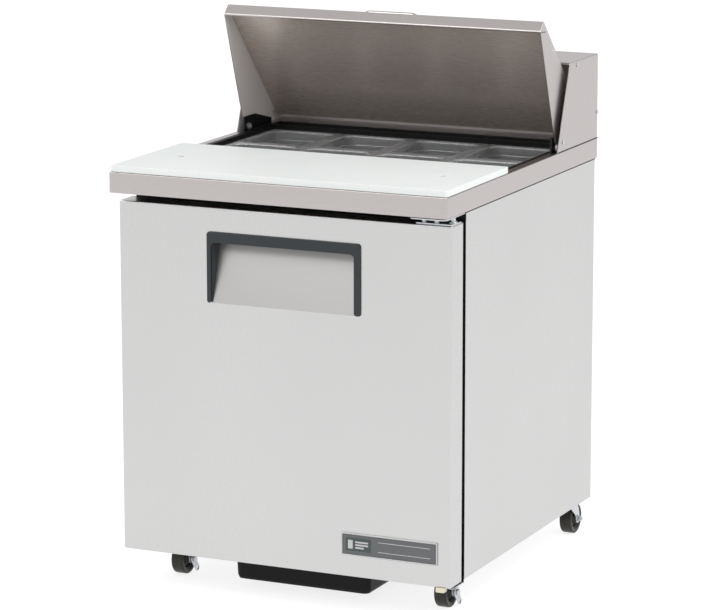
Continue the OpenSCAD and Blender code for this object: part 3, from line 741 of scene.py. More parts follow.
def make_hood():
    hood = size_of("hood_shell")
    x, foot, back, top = HALF_W, hood[0][1], hood[1][1], hood[1][2]
    brow = 610
    lip = 4
    inner = x - SHEET - 0.1
    faces = [
        [(-x, back, COUNTER_Z), (-x, foot, COUNTER_Z), (-x, brow, top), (-x, back, top)],
        [(x, foot, COUNTER_Z), (x, back, COUNTER_Z), (x, back, top), (x, brow, top)],
        rectangle((-x, x), (brow, back), top),
        walls((-x, x), (brow, back), (COUNTER_Z, top), "b")[0],
    ]
    bm = folded(faces, 2.4)
    add_faces(bm, [[(-inner, brow, top - lip), (inner, brow, top - lip), (inner, brow, top - 1),
                    (-inner, brow, top - 1)]])
    link_piece("hood_sheet", bm, ["steel_cross", "lid_inside"], ["hood_shell"], thickness=SHEET, inside=1)
    spots = [(649, COUNTER_Z + 163), (576, COUNTER_Z + 19), (761, COUNTER_Z + 54)]
    heads = []
    for side in (-1, 1):
        for number, (d, z) in enumerate(spots):
            turn = (("Z", 20 + 37 * number), ("Y", 90 * side))
            heads.append(moved(screw_head(4, 1.6), (side * x, d, z), turn))
    link_piece("hood_screw_heads", joined(*heads), "zinc", ["hood_screws"])


def make_gap_shade_beads():
    """Dark beads as painted shade in the gaps under the countertop's edge and along the hood's foot."""
    proud, hood = 0.9, size_of("hood_shell")
    beads = []
    for x, d, z, height in ((SHELL[1][0], (SHELL[0][1], SHELL[1][1]), EDGE_Z - 3.6, 3.6),
                            (HALF_W, (hood[0][1] + 3, hood[1][1]), COUNTER_Z + 0.1, 1.8)):
        for xs in both_sides(x - 0.6, x + proud):
            beads.append(box_shape(xs, d, (z, z + height), 0.4, 3))
        beads.append(box_shape((-x, x), (d[1] - 0.6, d[1] + proud), (z, z + height), 0.4, 3))
    link_piece("painted_gap_shade_beads", joined(*beads), "gasket", [], "cabinet")


def make_cabinet():
    x, d, z = (SHELL[0][0], SHELL[1][0]), (SHELL[0][1], SHELL[1][1]), (SHELL[0][2], SHELL[1][2])
    grille = size_of("rear_grille")
    edge, margin = 10, 8
    out = walls(x, d, z, "b")[0]
    hole_x, hole_z = grille[1][0] - edge, (grille[0][2] + margin, grille[1][2] - margin)
    hole = walls((-hole_x, hole_x), d, hole_z, "b")[0]
    front = d[0] - 0.3
    faces = [walls(x, (front, d[1]), z, side)[0] for side in "rl"] + ring(out, hole)
    link_piece("cabinet_wrapper", folded(faces, 2.0), "steel", ["cabinet_shell"], thickness=SHEET)


# ---------- lid ----------

LIP_FOOT, LIP_TOP = (308, COUNTER_Z + 2), (297.5, COUNTER_Z + 25)
LID_BACK, LID_HEEL = (603.5, COUNTER_Z + 168), (560, COUNTER_Z + 2)
LINER_FRONT, LINER_BACK = (322, COUNTER_Z + 27.5), (598, COUNTER_Z + 141)
LID_X = 342


def on_lid(share):
    """The (d, z) of the lid's top that share of the way from its lip to its back."""
    return [a + share * (b - a) for a, b in zip(LIP_TOP, LID_BACK)]


def make_lid():
    x, hem, ear, flange = LID_X, 3.5, 8, 12
    hem_end = (LIP_FOOT[0] + hem, LIP_FOOT[1])
    outline = [LIP_FOOT, LID_HEEL, *arc(*PIVOT, ear, -90, -10, 8), LID_BACK, LIP_TOP]

    def across(a, b, half=x):
        return [(-half, *a), (half, *a), (half, *b), (-half, *b)]

    faces = [across(LIP_FOOT, LIP_TOP), across(LIP_TOP, LID_BACK), across(hem_end, LIP_FOOT),
             across(LID_BACK, LINER_BACK), across(LINER_FRONT, hem_end)]
    faces += [[(x, *p) for p in outline], [(-x, *p) for p in outline[::-1]]]
    link_piece("lid_sheet", opened(folded(faces, 1.6)), ["steel_cross", "lid_inside"], ["lid_skin"],
               thickness=SHEET, inside=1)
    d, z = on_lid(0.25)
    rivet = [(0, 1.1), (1.6, 1.0), (3.0, 0.5), (3.5, 0), (0, 0)]
    rivets = [moved(lathe(rivet, 24), (side * x, d, z - 9), (("Y", 90 * side),)) for side in (-1, 1)]
    link_piece("lid_rivets", opened(joined(*rivets)), "zinc", [], BODY_OF["lid_skin"])
    half = x - SHEET - 0.3
    run = Vector(LINER_BACK) - Vector(LINER_FRONT)
    end = Vector(LINER_BACK) + run.normalized() * flange
    points = [(LINER_FRONT[0] + 0.5, LINER_FRONT[1] + 0.6), tuple(end), (end.x + 1, end.y + 5)]
    liner = strip(points[::-1], (-half, half), 8)
    link_piece("lid_inner_sheet", opened(liner), "mirror_liner", ["lid_liner"], thickness=1.0)


def make_bolts():
    """Shoulder bolts with domed heads outside the cheeks, washers and nuts inside the brackets."""
    inner, outer = size_of("lid_hinge_brackets")[1][0] - 3, LID_X
    shapes = []
    for side in (-1, 1):
        shank = [(0, inner - 6), (3.9, inner - 6), (3.9, outer + 0.5), (0, outer + 0.5)]
        head = [(0, outer + 4), (4, outer + 3.8), (6.6, outer + 2.4), (7.5, outer + 0.8), (7.5, outer),
                (0, outer)]
        washer = [(3.9, inner - 0.2), (7.6, inner - 0.2), (7.6, inner - 1.4), (3.9, inner - 1.4)]
        nut = lifted(hexagon(6.8, 3.5), inner - 5)
        parts = joined(lathe(shank, 28), lathe(head, 32), lathe(washer, 32), nut)
        shapes.append(moved(parts, (0, *PIVOT), (("Y", 90 * side),)))
    link_piece("lid_bolts", joined(*shapes), "zinc", ["lid_pivot_bolts"])


def make_pull():
    """The chrome pull: a bar whose ends curve down to oval feet on the lid."""
    slope = math.atan2(LID_BACK[1] - LIP_TOP[1], LID_BACK[0] - LIP_TOP[0])
    reach, rise, r = 56, 24, 4.6
    path = [(-reach - 2, 0, -1), (-reach, 0, rise), (reach, 0, rise), (reach + 2, 0, -1)]
    bar = tube(path, r, bend=16, sides=6, steps=10, local=True)
    foot = [(0, 2.4), (5, 2.4), (6.6, 1.6), (7.2, 0), (0, 0)]
    feet = []
    for side in (-1, 1):
        one = lathe(foot, 32)
        bmesh.ops.transform(one, verts=one.verts, matrix=Matrix.Translation(((reach + 2) * side * MM, 0, 0))
                            @ Matrix.Diagonal((1.25, 1, 1, 1)))
        feet.append(one)
    shape = moved(joined(bar, *feet), (0, *on_lid(0.1)), (("X", math.degrees(slope)),))
    link_piece("lid_pull", opened(shape), "chrome_pull", ["lid_handle"])


# ---------- door ----------

DOOR = size_of("door_skin")
GRIP = size_of("handle_surround")
GRIP_BAR, GRIP_LEG = 21, 13
POCKET_X = GRIP[1][0] - GRIP_LEG
BAR_Z = GRIP[1][2] - GRIP_BAR
POCKET_TOP = GRIP[1][2] - 4
POCKET_FOOT = GRIP[0][2] + 2
DOOR_FRONT = DOOR[0][1]
POCKET_BACK = DOOR_FRONT + 34


def make_door():
    x, d, z = (DOOR[0][0], DOOR[1][0]), (DOOR[0][1], DOOR[1][1]), (DOOR[0][2], DOOR[1][2])
    front = walls(x, d, z, "f")[0]
    hole = walls((-POCKET_X, POCKET_X), d, (POCKET_FOOT, POCKET_TOP), "f")[0]
    faces = ring(front, hole) + walls(x, d, z, "rl")
    faces += [rectangle(x, d, z[1]), rectangle(x, d, z[0], True)]
    link_piece("door_sheet", folded(faces, 2.8, 5), "steel", ["door_skin"], thickness=SHEET)

    rear = d[1] + SHEET
    field_x, field_z, raised = 288, (z[0] + 62, z[1] - 62), 5
    flat = walls(x, (d[0], rear), z, "b")[0]
    upper = walls((-field_x, field_x), (d[0], rear), field_z, "b")[0]
    inner_z = (field_z[0] + raised, field_z[1] - raised)
    inner = walls((raised - field_x, field_x - raised), (d[0], rear + raised), inner_z, "b")[0]
    faces = ring(flat, upper) + ring(upper, inner) + [inner]
    link_piece("door_back_sheet", folded(faces, 3.0), "steel_liner", ["door_liner"], thickness=1.0)


def make_gasket():
    """The hollow seal: a bellows profile carried round the door with mitred corners."""
    gasket = size_of("door_gasket")
    base, depth = gasket[0][1], gasket[1][1] - gasket[0][1]
    profile = [(2, 0), (28, 0), (28, 2.2), (22, 3.4), (22, 5.4), (28.6, 6.4), (29.4, 8), (29.4, 11.5),
               (28, depth - 0.8), (26, depth), (4, depth), (2, depth - 0.8), (0.6, 11.5), (0.6, 8),
               (1.4, 6.4), (8, 5.4), (8, 3.4), (2, 2.2)]
    rings = []
    for sx, sz in ((0, 0), (1, 0), (1, 1), (0, 1), (0, 0)):
        corner = (gasket[sx][0], gasket[sz][2])
        inward = (1 - 2 * sx, 1 - 2 * sz)
        rings.append([(corner[0] + inward[0] * u, base + v, corner[1] + inward[1] * u)
                      for u, v in profile])
    bm = skin(rings, closed=False)
    bmesh.ops.remove_doubles(bm, verts=bm.verts, dist=1e-6)
    link_piece("gasket_seal", bm, "gasket", ["door_gasket"], sharp=50)


def make_handle():
    half, top, foot = GRIP[1][0], GRIP[1][2], POCKET_FOOT
    left = 4 - half
    r, end, fillet = 6.5, 4.4, 9
    outline = arc(half - r, top - r, r, 0, 90) + arc(left + r, top - r, r, 90, 180)
    outline += arc(left + end, foot + end, end, 180, 270) + arc(-POCKET_X - end, foot + end, end, 270, 360)
    outline += arc(fillet - POCKET_X, BAR_Z - fillet, fillet, 180, 90)
    outline += arc(POCKET_X - fillet, BAR_Z - fillet, fillet, 90, 0)
    outline += arc(POCKET_X + end, foot + end, end, 180, 270) + arc(half - end, foot + end, end, 270, 360)
    proud = DOOR_FRONT - GRIP[0][1]
    shapes = [moved(plate([outline], proud, 1.6, 4), (0, DOOR_FRONT, 0), FACING["front"])]
    shapes.append(box_shape((-POCKET_X, POCKET_X), (DOOR_FRONT - 3, DOOR_FRONT + 1.5),
                            (BAR_Z, POCKET_TOP), 1.2, 3))
    back = POCKET_BACK - 0.4
    cheek = [(DOOR_FRONT, POCKET_FOOT + 2), (back, BAR_Z), (back, POCKET_TOP), (DOOR_FRONT, POCKET_TOP)]
    shapes += [side_solid(cheek, xs, 0.4) for xs in both_sides(POCKET_X - 2, POCKET_X)]
    link_piece("grip_surround", joined(*shapes), "handle_plastic", ["handle_surround"])

    slope = Vector((POCKET_BACK - DOOR_FRONT, BAR_Z - POCKET_FOOT))
    bend = 16
    heel = Vector((POCKET_BACK, BAR_Z))
    before = heel - slope.normalized() * bend
    curve = bent(before, heel, heel + Vector((0, bend / 2)), 8)
    points = [(DOOR_FRONT + 0.2, POCKET_FOOT), *curve, (POCKET_BACK, POCKET_TOP),
              (DOOR_FRONT + 6, POCKET_TOP)]
    sheet = strip(points, (-POCKET_X, POCKET_X), 4)
    link_piece("pocket_sheet", sheet, "steel_pocket", ["handle_pocket"], thickness=0.8)


def make_hinges():
    """Top and bottom hinge plates with their pins, and the door's leaves with bolts and a bush."""
    lo, hi = size_of("door_hinge_brackets")
    axis = joint_place("door_hinge")[:2]
    leaf = DOOR[1][2]
    plate_top = hi[2] - 2.2
    near = lo[1]
    left, right, corner = 270, 346, 10
    arm = [(left, near + 16), *arc(left + corner, near + corner, corner, 180, 270),
           *arc(right - corner, near + corner, corner, 270, 360), (right, hi[1]), (left, hi[1])]
    neck = [(0, plate_top - 2), (4.5, plate_top - 2), (4.5, leaf + 10), (5, leaf + 9), (5, leaf - 26),
            (0, leaf - 26)]
    foot = lo[2]
    pin = [(0, foot + 1), (5, foot + 1), (5, foot + 18), (4, foot + 19), (0, foot + 19)]
    shapes = [moved(plate([arm], 2.4, 0.5), (0, 0, plate_top - 2.4)),
              (box_shape((lo[0], hi[0]), (hi[1] - 3, hi[1]), (leaf + 1, hi[2])), 1),
              moved(lathe(neck, 32), (*axis, 0)),
              # the foot plate takes the duller grey sheet instead of zinc, as painted shade
              (box_shape((322, right), (axis[1] - 12, hi[1]), (foot, foot + 2.6), 0.6), 2),
              (box_shape((322, right), (hi[1] - 3, hi[1]), (foot, foot + 15), 0.6), 1),
              moved(lathe(pin, 32), (*axis, 0))]
    link_piece("hinge_plates", joined(*shapes), ["zinc", "zinc_black", "base_sheet"],
               ["door_hinge_brackets"])

    half = DOOR[1][0] - 1
    bore = circle(*axis, 5.3, 32)
    top = plate([rounded((270, half), (36, 80), 4), bore], 3, 0.6)
    collar = [(5.3, leaf + 2), (8, leaf + 2), (8, leaf + 5), (7, leaf + 6), (5.3, leaf + 6), (5.3, leaf + 2)]
    leaves = [moved(top, (0, 0, leaf)), moved(lathe(collar, 36), (*axis, 0))]
    head = [(0, 9.5), (4.2, 9.5), (5.2, 8.6), (5.2, 0), (0, 0)]
    leaves += [moved(lathe(head, 28), (x, 48, leaf + 2.5)) for x in (284, 309)]
    foot = DOOR[0][2]
    leaves.append(moved(plate([rounded((300, half), (40, 74), 4), bore], 3, 0.6), (0, 0, foot + 1.2)))
    bush = plate([rounded((317, 335), (27, 44), 3)], 9, 1.2, 3)
    leaves.append((moved(bush, (0, 0, foot - 8.6)), 1))
    link_piece("hinge_leaves", joined(*leaves), ["zinc", "cream"], ["door_hinge_leaves"])


def make_badge():
    """A blank badge: metal rim, dark field, a small tile with plain bars."""
    lo, hi = size_of("nameplate")
    width, height = hi[0] - lo[0], hi[2] - lo[2]
    rim, tile = 2.6, (9, 10)

    def slab(x, z, w, h, corner, thickness, ease):
        loop = rounded((0, w), (0, h), corner)
        return moved(plate([loop], thickness, ease), (lo[0] + x, hi[1], lo[2] + z), FACING["front"])

    loops = [rounded((0, width), (0, height), 2.2), rounded((rim, width - rim), (rim, height - rim), 1.4)]
    shapes = [moved(plate(loops, 3, 0.7, 3), (lo[0], hi[1], lo[2]), FACING["front"]),
              (slab(1, 1, width - 2, height - 2, 1.6, 1.3, 0.2), 1), (slab(*tile, 52, 25, 2, 2.0, 0.3), 2)]
    for x, z, w, h in ((5, 4, 10, 17), (20, 16, 27, 3.2), (20, 10.5, 27, 3.2), (20, 5, 18, 3.2)):
        shapes.append(slab(tile[0] + x, tile[1] + z, w, h, 1, 2.3, 0.15))
    shapes += [slab(76, z, 108, 1.2, 0.5, 1.6, 0.1) for z in (12, 31)]
    link_piece("badge_plate", joined(*shapes), ["badge_rim", "badge", "badge_tile"], ["nameplate"])


# ---------- board and pans ----------


def make_board():
    lo, hi = size_of("cutting_board")
    thickness = hi[2] - lo[2]
    outline = rounded((lo[0], hi[0]), (lo[1], hi[1]), 5, 8)
    holes = [circle(side * PEG[0], PEG[1], 7, 36) for side in (-1, 1)]
    bm = moved(plate([outline, *holes], thickness, 1.5, 4), (0, 0, lo[2]))
    link_piece("board_slab", bm, "board", ["cutting_board"])


def tub(node, sections):
    """A vessel skinned over level rounded rectangles, from its foot up and down again inside. Each is
    (how much smaller than the node, corner radius, z)."""
    lo, hi = size_of(node)
    rings = []
    for smaller, radius, z in sections:
        x = (lo[0] + smaller / 2, hi[0] - smaller / 2)
        d = (lo[1] + smaller / 2, hi[1] - smaller / 2)
        rings.append([(u, v, z) for u, v in rounded(x, d, radius, 7)])
    return skin(rings)


def make_pan(node):
    """A tapered clear pan with a rolled rim, a stacking shoulder and a rounded floor."""
    base, top = (corner[2] for corner in size_of(node))
    shoulder = top - 20
    body, taper, wall = 22, 13, 2.2
    foot, cavity = body + taper, body + 2 * wall
    outer = [(foot + 14, 12, base), (foot + 4, 17, base + 1.6), (foot, 19, base + 7),
             (body + 5, 21, shoulder), (body, 22, shoulder + 1.5), (body, 22, top - 4),
             (body - 3, 20, top - 2.4), (1.2, 8, top - 2.4), (0, 8.5, top - 1.6), (0, 8.5, top - 0.8),
             (1.4, 8, top)]
    inner = [(body - 1, 20, top), (cavity - 1, 20, top - 1.6), (cavity, 20, top - 4),
             (cavity, 20, shoulder + 2.4), (cavity + 5, 19, shoulder + 0.8), (cavity + taper, 17, base + 8),
             (cavity + taper + 4, 15, base + 3.6), (cavity + taper + 12, 12, base + wall)]
    link_piece(node + "_clear", tub(node, outer + inner), "clear_pan", [node], sharp=55)


def make_drip_tray():
    base, top = (corner[2] for corner in size_of("condensate_pan"))
    draft, wall = 5, 3
    cavity = 2 * wall
    outer = [(draft + 18, 8, base), (draft + 6, 10, base + 2.2), (draft, 13, base + 9), (1, 14, top - 6),
             (0, 14, top - 5), (0, 14, top - 0.6), (1, 13.5, top)]
    inner = [(cavity - 1, 11.5, top), (cavity, 11, top - 0.6), (cavity + draft, 10, base + 10),
             (cavity + draft + 6, 8, base + 4.4), (cavity + draft + 14, 6, base + wall)]
    shape = tub("condensate_pan", outer + inner)
    link_piece("drip_tray", shape, "black_plastic", ["condensate_pan"], sharp=50)


# ---------- cold side: shelf, evaporator cover and dial ----------


def make_shelf():
    """The coated wire shelf: a bent frame bar, two cross bars and a row of wires."""
    lo, hi = size_of("wire_shelf")
    bar, wire, wires, corner = (hi[2] - lo[2]) / 2, 1.75, 21, 9
    z = centre_of("wire_shelf")[2]
    x, d = (lo[0] + bar, hi[0] - bar), (lo[1] + bar, hi[1] - bar)
    rim = [(u, v, z) for u, v in rounded(x, d, corner, 5)]
    bars = [tube(rim, bar, sides=3, closed=True)]
    for v in (d[0] + 122, d[1] - 122):
        bars.append(tube([(x[0], v, z - 0.5), (x[1], v, z - 0.5)], bar - 0.5, sides=3))
    for k in range(1, wires + 1):
        u = x[0] + (x[1] - x[0]) * k / (wires + 1)
        bars.append(tube([(u, d[0] - 1, z + 1.2), (u, d[1] + 1, z + 1.2)], wire, sides=2))
    link_piece("shelf_wires", joined(*bars), "coated_wire", ["wire_shelf"], sharp=50)


def make_pilasters():
    """Slotted strips: a face with clip slots between two folded flanges."""
    lo, hi = size_of("shelf_pilasters")
    deep, wide, pitch = 4, 16, 25
    parts = []
    count = int((hi[2] - lo[2] - 20) / pitch) + 1
    for side, flange in zip((-1, 1), both_sides(hi[0] - deep + 0.2, hi[0])):
        for d in (lo[1] + wide / 2, hi[1] - wide / 2):
            slots = [rounded((-3.2, 3.2), (lo[2] + 8 + pitch * k, lo[2] + 11.2 + pitch * k), 1.2, 2)
                     for k in range(count)]
            face = plate([rounded((-wide / 2, wide / 2), (lo[2], hi[2]), 1), *slots], 1.0, 0.2)
            x = side * (hi[0] - deep) - (1.0 if side < 0 else 0)
            parts.append(moved(face, (x, d, 0), FACING["side"]))
            for edge in (d - wide / 2, d + wide / 2 - SHEET):
                parts.append(box_shape(flange, (edge, edge + SHEET), (lo[2], hi[2]), 0.3))
    link_piece("slotted_strips", joined(*parts), "zinc", ["shelf_pilasters"])


def blade(root, tip, chord, pitch, camber, stations=6, columns=8):
    """One fan blade about Z: a cambered plate, wider and flatter towards its round tip."""
    half_thick = 0.8
    rings = []
    for s in range(stations + 1):
        t = s / stations
        radius = root + (tip - root) * t
        width = chord * (0.62 + 0.38 * math.sin(math.pi * t * 0.62)) * (1 - 0.3 * t ** 6)
        tilt = math.radians(pitch * (1.15 - 0.35 * t))
        ring = []
        steps = [(c / columns - 0.5, 1) for c in range(columns + 1)]
        steps += [(c / columns - 0.5, -1) for c in range(columns - 1, 0, -1)]
        for v, face in steps:
            swell = 1 - 4 * v * v
            rise = width * v * math.sin(tilt) + camber * swell + face * half_thick * math.sqrt(swell)
            turn = (width * v * math.cos(tilt) + 0.18 * chord * t * t) / radius
            ring.append((radius * math.cos(turn), radius * math.sin(turn), rise))
        rings.append(ring)
    return skin(rings, lambda *point: Vector(point) * MM)


def make_fan(node, material, chord, pitch):
    """Hub with a nut and five curved blades, in the place of the CAD fan."""
    lo, hi = size_of(node)
    radius, blades, half = (hi[0] - lo[0]) / 2, 5, 8
    hub = radius * 0.3
    shapes = [lathe([(0, half), (hub * 0.7, half), (hub - 1, half - 1.5), (hub, half - 4), (hub, -half),
                     (hub - 2, -half), (hub - 3, 2 - half), (0, 2 - half)])]
    for k in range(blades):
        one = blade(hub - 1, radius - 1, chord, pitch, 1.8)
        turn = Matrix.Rotation(TAU * k / blades, 4, "Z")
        bmesh.ops.transform(one, verts=one.verts, matrix=turn)
        shapes.append(one)
    shapes.append((lifted(hexagon(5, 3), half), 1))
    link_piece(node + "_blades", moved(joined(*shapes), centre_of(node), FACING["front"]),
               [material, "zinc"], [node], sharp=45)


def make_evaporator_cover():
    """Folded cover with a guarded fan opening, air slots, screws and the fan's motor."""
    lo, hi = size_of("evaporator_housing")
    front = lo[1] + 14
    fan, knob = centre_of("evaporator_fan"), centre_of("control_knob")
    opening, bar = 62, 1.1
    vents = [450 + 18 * k for k in range(7)]
    slots = [rounded((-10, 130), (z, z + 8), 3.5, 3) for z in vents]
    outline = rounded((lo[0], hi[0]), (lo[2], hi[2]), 5)
    face = plate([outline, circle(fan[0], fan[2], opening, 64), *slots], SHEET, 0.3)
    shapes = [moved(face, (0, front + SHEET, 0), FACING["front"])]
    inner = rounded((lo[0] + SHEET, hi[0] - SHEET), (lo[2] + SHEET, hi[2] - SHEET), 4)
    rims = ((outline, front + 0.6), (outline, hi[1]), (inner, hi[1]), (inner, front + 0.6))
    shapes.append(skin([[(u, d, v) for u, v in loop] for loop, d in rims], closed=False))
    guard = (fan[0], front - 1.4, fan[2])
    wires = [ring_bar(guard, r, bar) for r in (16, 28, 40, 52, opening + 2)]
    for k in range(6):
        turn = math.radians(30 + 60 * k)
        spoke = [(guard[0] + r * math.cos(turn), guard[1], guard[2] + r * math.sin(turn))
                 for r in (16, opening + 4)]
        wires.append(tube(spoke, bar, sides=2))
    shapes += [(w, 1) for w in wires]
    shapes += screws((lo[0] + 12, hi[0] - 12), front, (lo[2] + 12, hi[2] - 12), (3.6, 1.5), "front", 1)
    motor = lathe([(0, 0), (3, 0), (3, 33), (15, 33), (21, 36), (22, 40), (22, 54), (21, 58), (14, 62.5),
                   (0, 62.5)], 32)
    shapes.append((moved(motor, (fan[0], front + 68.5, fan[2]), FACING["front"]), 2))
    strap = box_shape((fan[0] - 6, fan[0] + 6), (hi[1] - 31, hi[1] - 28), (lo[2] + 1, hi[2] - 1), 0.6)
    shapes.append((strap, 1))
    stem = lathe([(0, 0), (3, 0), (3, 13), (0, 13)], 24)
    shapes.append((moved(stem, (knob[0], front, knob[2]), FACING["front"]), 1))
    link_piece("evaporator_cover", joined(*shapes), ["evaporator_white", "zinc", "fan_plastic"],
               ["evaporator_housing"])


def make_dial():
    """Thermostat dial: a fluted skirt, a grip bar and a white pointer line."""
    centre = centre_of("control_knob")
    back = size_of("control_knob")[1][1]
    flutes, radius = 30, 17
    rim = circle(0, 0, radius, 2 * flutes)
    valley = (radius - 0.5) / radius
    skirt = [(valley * u, valley * v) if k % 2 else (u, v) for k, (u, v) in enumerate(rim)]
    place = (centre[0], back, centre[2])
    shapes = [moved(plate([skirt, circle(0, 0, 3.1, 24)], 10, 0.8), place, FACING["front"]),
              moved(lathe([(0, 10), (3.4, 10), (13, 10), (11.5, 13), (9, 14), (0, 14)], 40), place,
                    FACING["front"])]
    grip = (back - 20.5, back - 9)
    shapes.append(box_shape((centre[0] - 3, centre[0] + 3), grip, (centre[2] - 14, centre[2] + 14), 1.4, 3))
    pointer = box_shape((centre[0] - 0.7, centre[0] + 0.7), (grip[0] - 0.25, grip[0] + 1),
                        (centre[2] + 2, centre[2] + 13), 0.2)
    shapes.append((pointer, 1))
    link_piece("dial", joined(*shapes), ["handle_plastic", "coated_wire"], ["control_knob"])


# ---------- machine bay ----------


def make_compressor():
    """Black can with a welded seam, on a foot plate with rubber mounts, with its terminal box."""
    lo, hi = size_of("compressor")
    x, d = centre_of("compressor")[:2]
    base, top, r = lo[2], hi[2], 52
    dome = [(r * math.cos(t), top - 41 + 41 * math.sin(t)) for t in (math.radians(8 * k) for k in range(11))]
    can = [(0, top), (8, top), *dome[::-1], (r, base + 62), (r + 2.4, base + 61), (r + 2.8, base + 58),
           (r + 2.4, base + 55), (r, base + 54), (r, base + 26), (r - 4, base + 15), (r - 14, base + 10),
           (0, base + 10)]
    shapes = [moved(lathe(can, 56), (x, d, 0))]
    foot = rounded((lo[0], hi[0]), (lo[1], hi[1]), 12)
    shapes.append(moved(plate([foot], 2.5, 0.5), (0, 0, base + 9)))
    mount = [(0, 0), (11, 0), (11, 4), (8.5, 5.5), (8.5, 7), (10, 9), (0, 9)]
    for u in (x - 63, x + 63):
        for v in (d - 36, d + 36):
            shapes.append((moved(lathe(mount, 28), (u, v, base)), 1))
            shapes.append((moved(hexagon(6, 4), (u, v, base + 11.4)), 2))
    box = box_shape((x + r - 8, x + r + 16), (d - 20, d + 20), (base + 30, base + 76), 3, 3)
    shapes.append((box, 1))
    for z in (base + 40, base + 66):
        shapes.append((moved(screw_head(2.6, 1.2), (x + r + 16, d, z), (("Y", 90),)), 2))
    link_piece("compressor_can", joined(*shapes), ["compressor_paint", "gasket", "zinc"], ["compressor"],
               sharp=40)


def make_lines():
    """Copper lines with formed bends and brazed sleeves at their ends."""
    lo, hi = size_of("refrigerant_lines")
    dome = size_of("compressor")[1][2]
    r = 4
    suction_x, liquid_x, coil_x = -172, -205, -10
    riser_d, coil_d = 700, 748
    high, level, coil_z = hi[2] - r, 350, 300
    suction = [(suction_x, lo[1], high), (suction_x, riser_d, high), (suction_x, riser_d, dome)]
    liquid = [(liquid_x, riser_d, dome), (liquid_x, riser_d, level), (coil_x, riser_d, level),
              (coil_x, coil_d, level), (coil_x, coil_d, coil_z)]
    shapes = [tube(suction, r, bend=26, sides=4, steps=10), tube(liquid, r, bend=13, sides=4, steps=8)]
    for place in (suction[-1], liquid[0]):
        shapes.append(moved(lathe([(r, 0), (5.4, 0), (5.6, 8), (5, 10), (r, 10.5)], 28), place))
    shapes.append(moved(lathe([(r, 0), (5, 0.5), (5.4, 2), (5.4, 10), (r, 10.5)], 28), liquid[-1]))
    link_piece("copper_lines", joined(*shapes), "copper", ["refrigerant_lines"], sharp=60)


def make_shroud():
    """Fan plate with a rolled opening, and the fan's motor on its strap."""
    lo, hi = size_of("condenser_shroud")
    fan = centre_of("condenser_fan")
    face, mouth = hi[1] - 2, 94
    outline = rounded((lo[0], hi[0]), (lo[2], hi[2]), 4)
    shapes = [moved(plate([outline, circle(fan[0], fan[2], mouth, 72)], 2, 0.4), (0, hi[1], 0),
                    FACING["front"])]
    lip = [(mouth + 0.5, 0), (mouth - 1.6, 4), (mouth - 2.2, 8), (mouth - 2.2, 14), (mouth - 1.0, 14),
           (mouth - 1.0, 8), (mouth + 0.5, 3)]
    shapes.append(moved(lathe(lip, 72), (fan[0], face + 0.5, fan[2]), FACING["front"]))
    motor = [(0, 0), (3, 0), (3, 26), (16, 26), (24, 27), (30, 30), (32, 34), (32, 42), (31, 43), (31, 45),
             (32, 46), (32, 60), (29, 65), (20, 67), (0, 67)]
    shapes.append((moved(lathe(motor, 44), (fan[0], face - 10, fan[2]), FACING["front"]), 1))
    strap_x, strap_d = (fan[0] - 12, fan[0] + 12), 646
    shapes.append(box_shape(strap_x, (strap_d, strap_d + 5), (lo[2], fan[2] + 20), 0.8))
    shapes.append(box_shape(strap_x, (strap_d, face), (lo[2], lo[2] + 4), 0.8))
    shapes += screws((lo[0] + 8, hi[0] - 8), face, (lo[2] + 14, hi[2] - 10), (3.6, 1.5), "front", 2)
    link_piece("fan_shroud", joined(*shapes), ["shroud_paint", "fan_metal", "zinc"], ["condenser_shroud"])


def make_rear_cover():
    """Back cover with pressed louvres and screws."""
    lo, hi = size_of("rear_grille")
    gland = centre_of("cord_gland")
    thick, rows, pitch, high = hi[1] - lo[1], 17, 24, 12
    slots = [(30, 250), (-250, -30)]
    seat = hi[1] - 0.3
    turns = [math.radians(85 * n / 6) for n in range(7)]

    def hood_over(z, inwards):
        """The (d, z) curve of the louvre over the slot that starts at z."""
        return [(seat + (5.5 - inwards) * math.sin(t), z + 2 + (high - 1 - inwards) * math.cos(t))
                for t in turns]

    loops, shapes = [], []
    for k in range(rows):
        z = lo[2] + 38 + k * pitch
        for x in slots:
            loops.append(rounded(x, (z, z + high), 2, 2))
            outer, inner = hood_over(z, 0), hood_over(z, 1)
            shapes.append(side_solid(outer + inner[::-1], x, 0))
            cap = outer + [(seat, outer[-1][1])]
            for u in (x[0], x[1] - 1):
                shapes.append(side_solid(cap, (u, u + 1), 0))
    outline = rounded((lo[0], hi[0]), (lo[2], hi[2]), 4)
    sheet = plate([outline, circle(gland[0], gland[2], 9.2, 32), *loops], thick, 0.3)
    shapes.insert(0, moved(sheet, (0, hi[1], 0), FACING["front"]))
    heights = (lo[2] + 50, (lo[2] + hi[2]) / 2, hi[2] - 30)
    shapes += screws((lo[0] + 8, hi[0] - 8), hi[1], heights, (3.8, 1.6), "back", 1)
    shapes += screws((-150, 150), hi[1], (hi[2] - 14,), (3.8, 1.6), "back", 1)
    link_piece("rear_cover", joined(*shapes), ["grille_sheet", "zinc"], ["rear_grille"])


def make_gland():
    """Outlet bush with a ribbed collar and a round mouth."""
    centre = centre_of("cord_gland")
    foot = size_of("cord_gland")[0][1]
    profile = [(6, 0), (13, 0), (13, 5.2), (9, 5.3), (9, 8), (14, 8), (14, 10.6), (12.8, 11.4), (11.2, 11.6),
               (10.6, 14.6), (8.6, 16), (7, 15.6), (6, 14.6), (6, 0)]
    bm = lathe(profile, 40)
    bmesh.ops.remove_doubles(bm, verts=bm.verts, dist=1e-6)
    shapes = [moved(bm, (centre[0], foot, centre[2]), FACING["back"])]
    rib = [(0, 0), (1.1, 0), (1.1, 3), (0.6, 3.6), (0, 3.6)]
    for u, v in circle(centre[0], centre[2], 11.6, 12):
        shapes.append(moved(lathe(rib, 10), (u, foot + 11, v), FACING["back"]))
    link_piece("outlet_bush", joined(*shapes), "black_plastic", ["cord_gland"])


# ---------- casters ----------


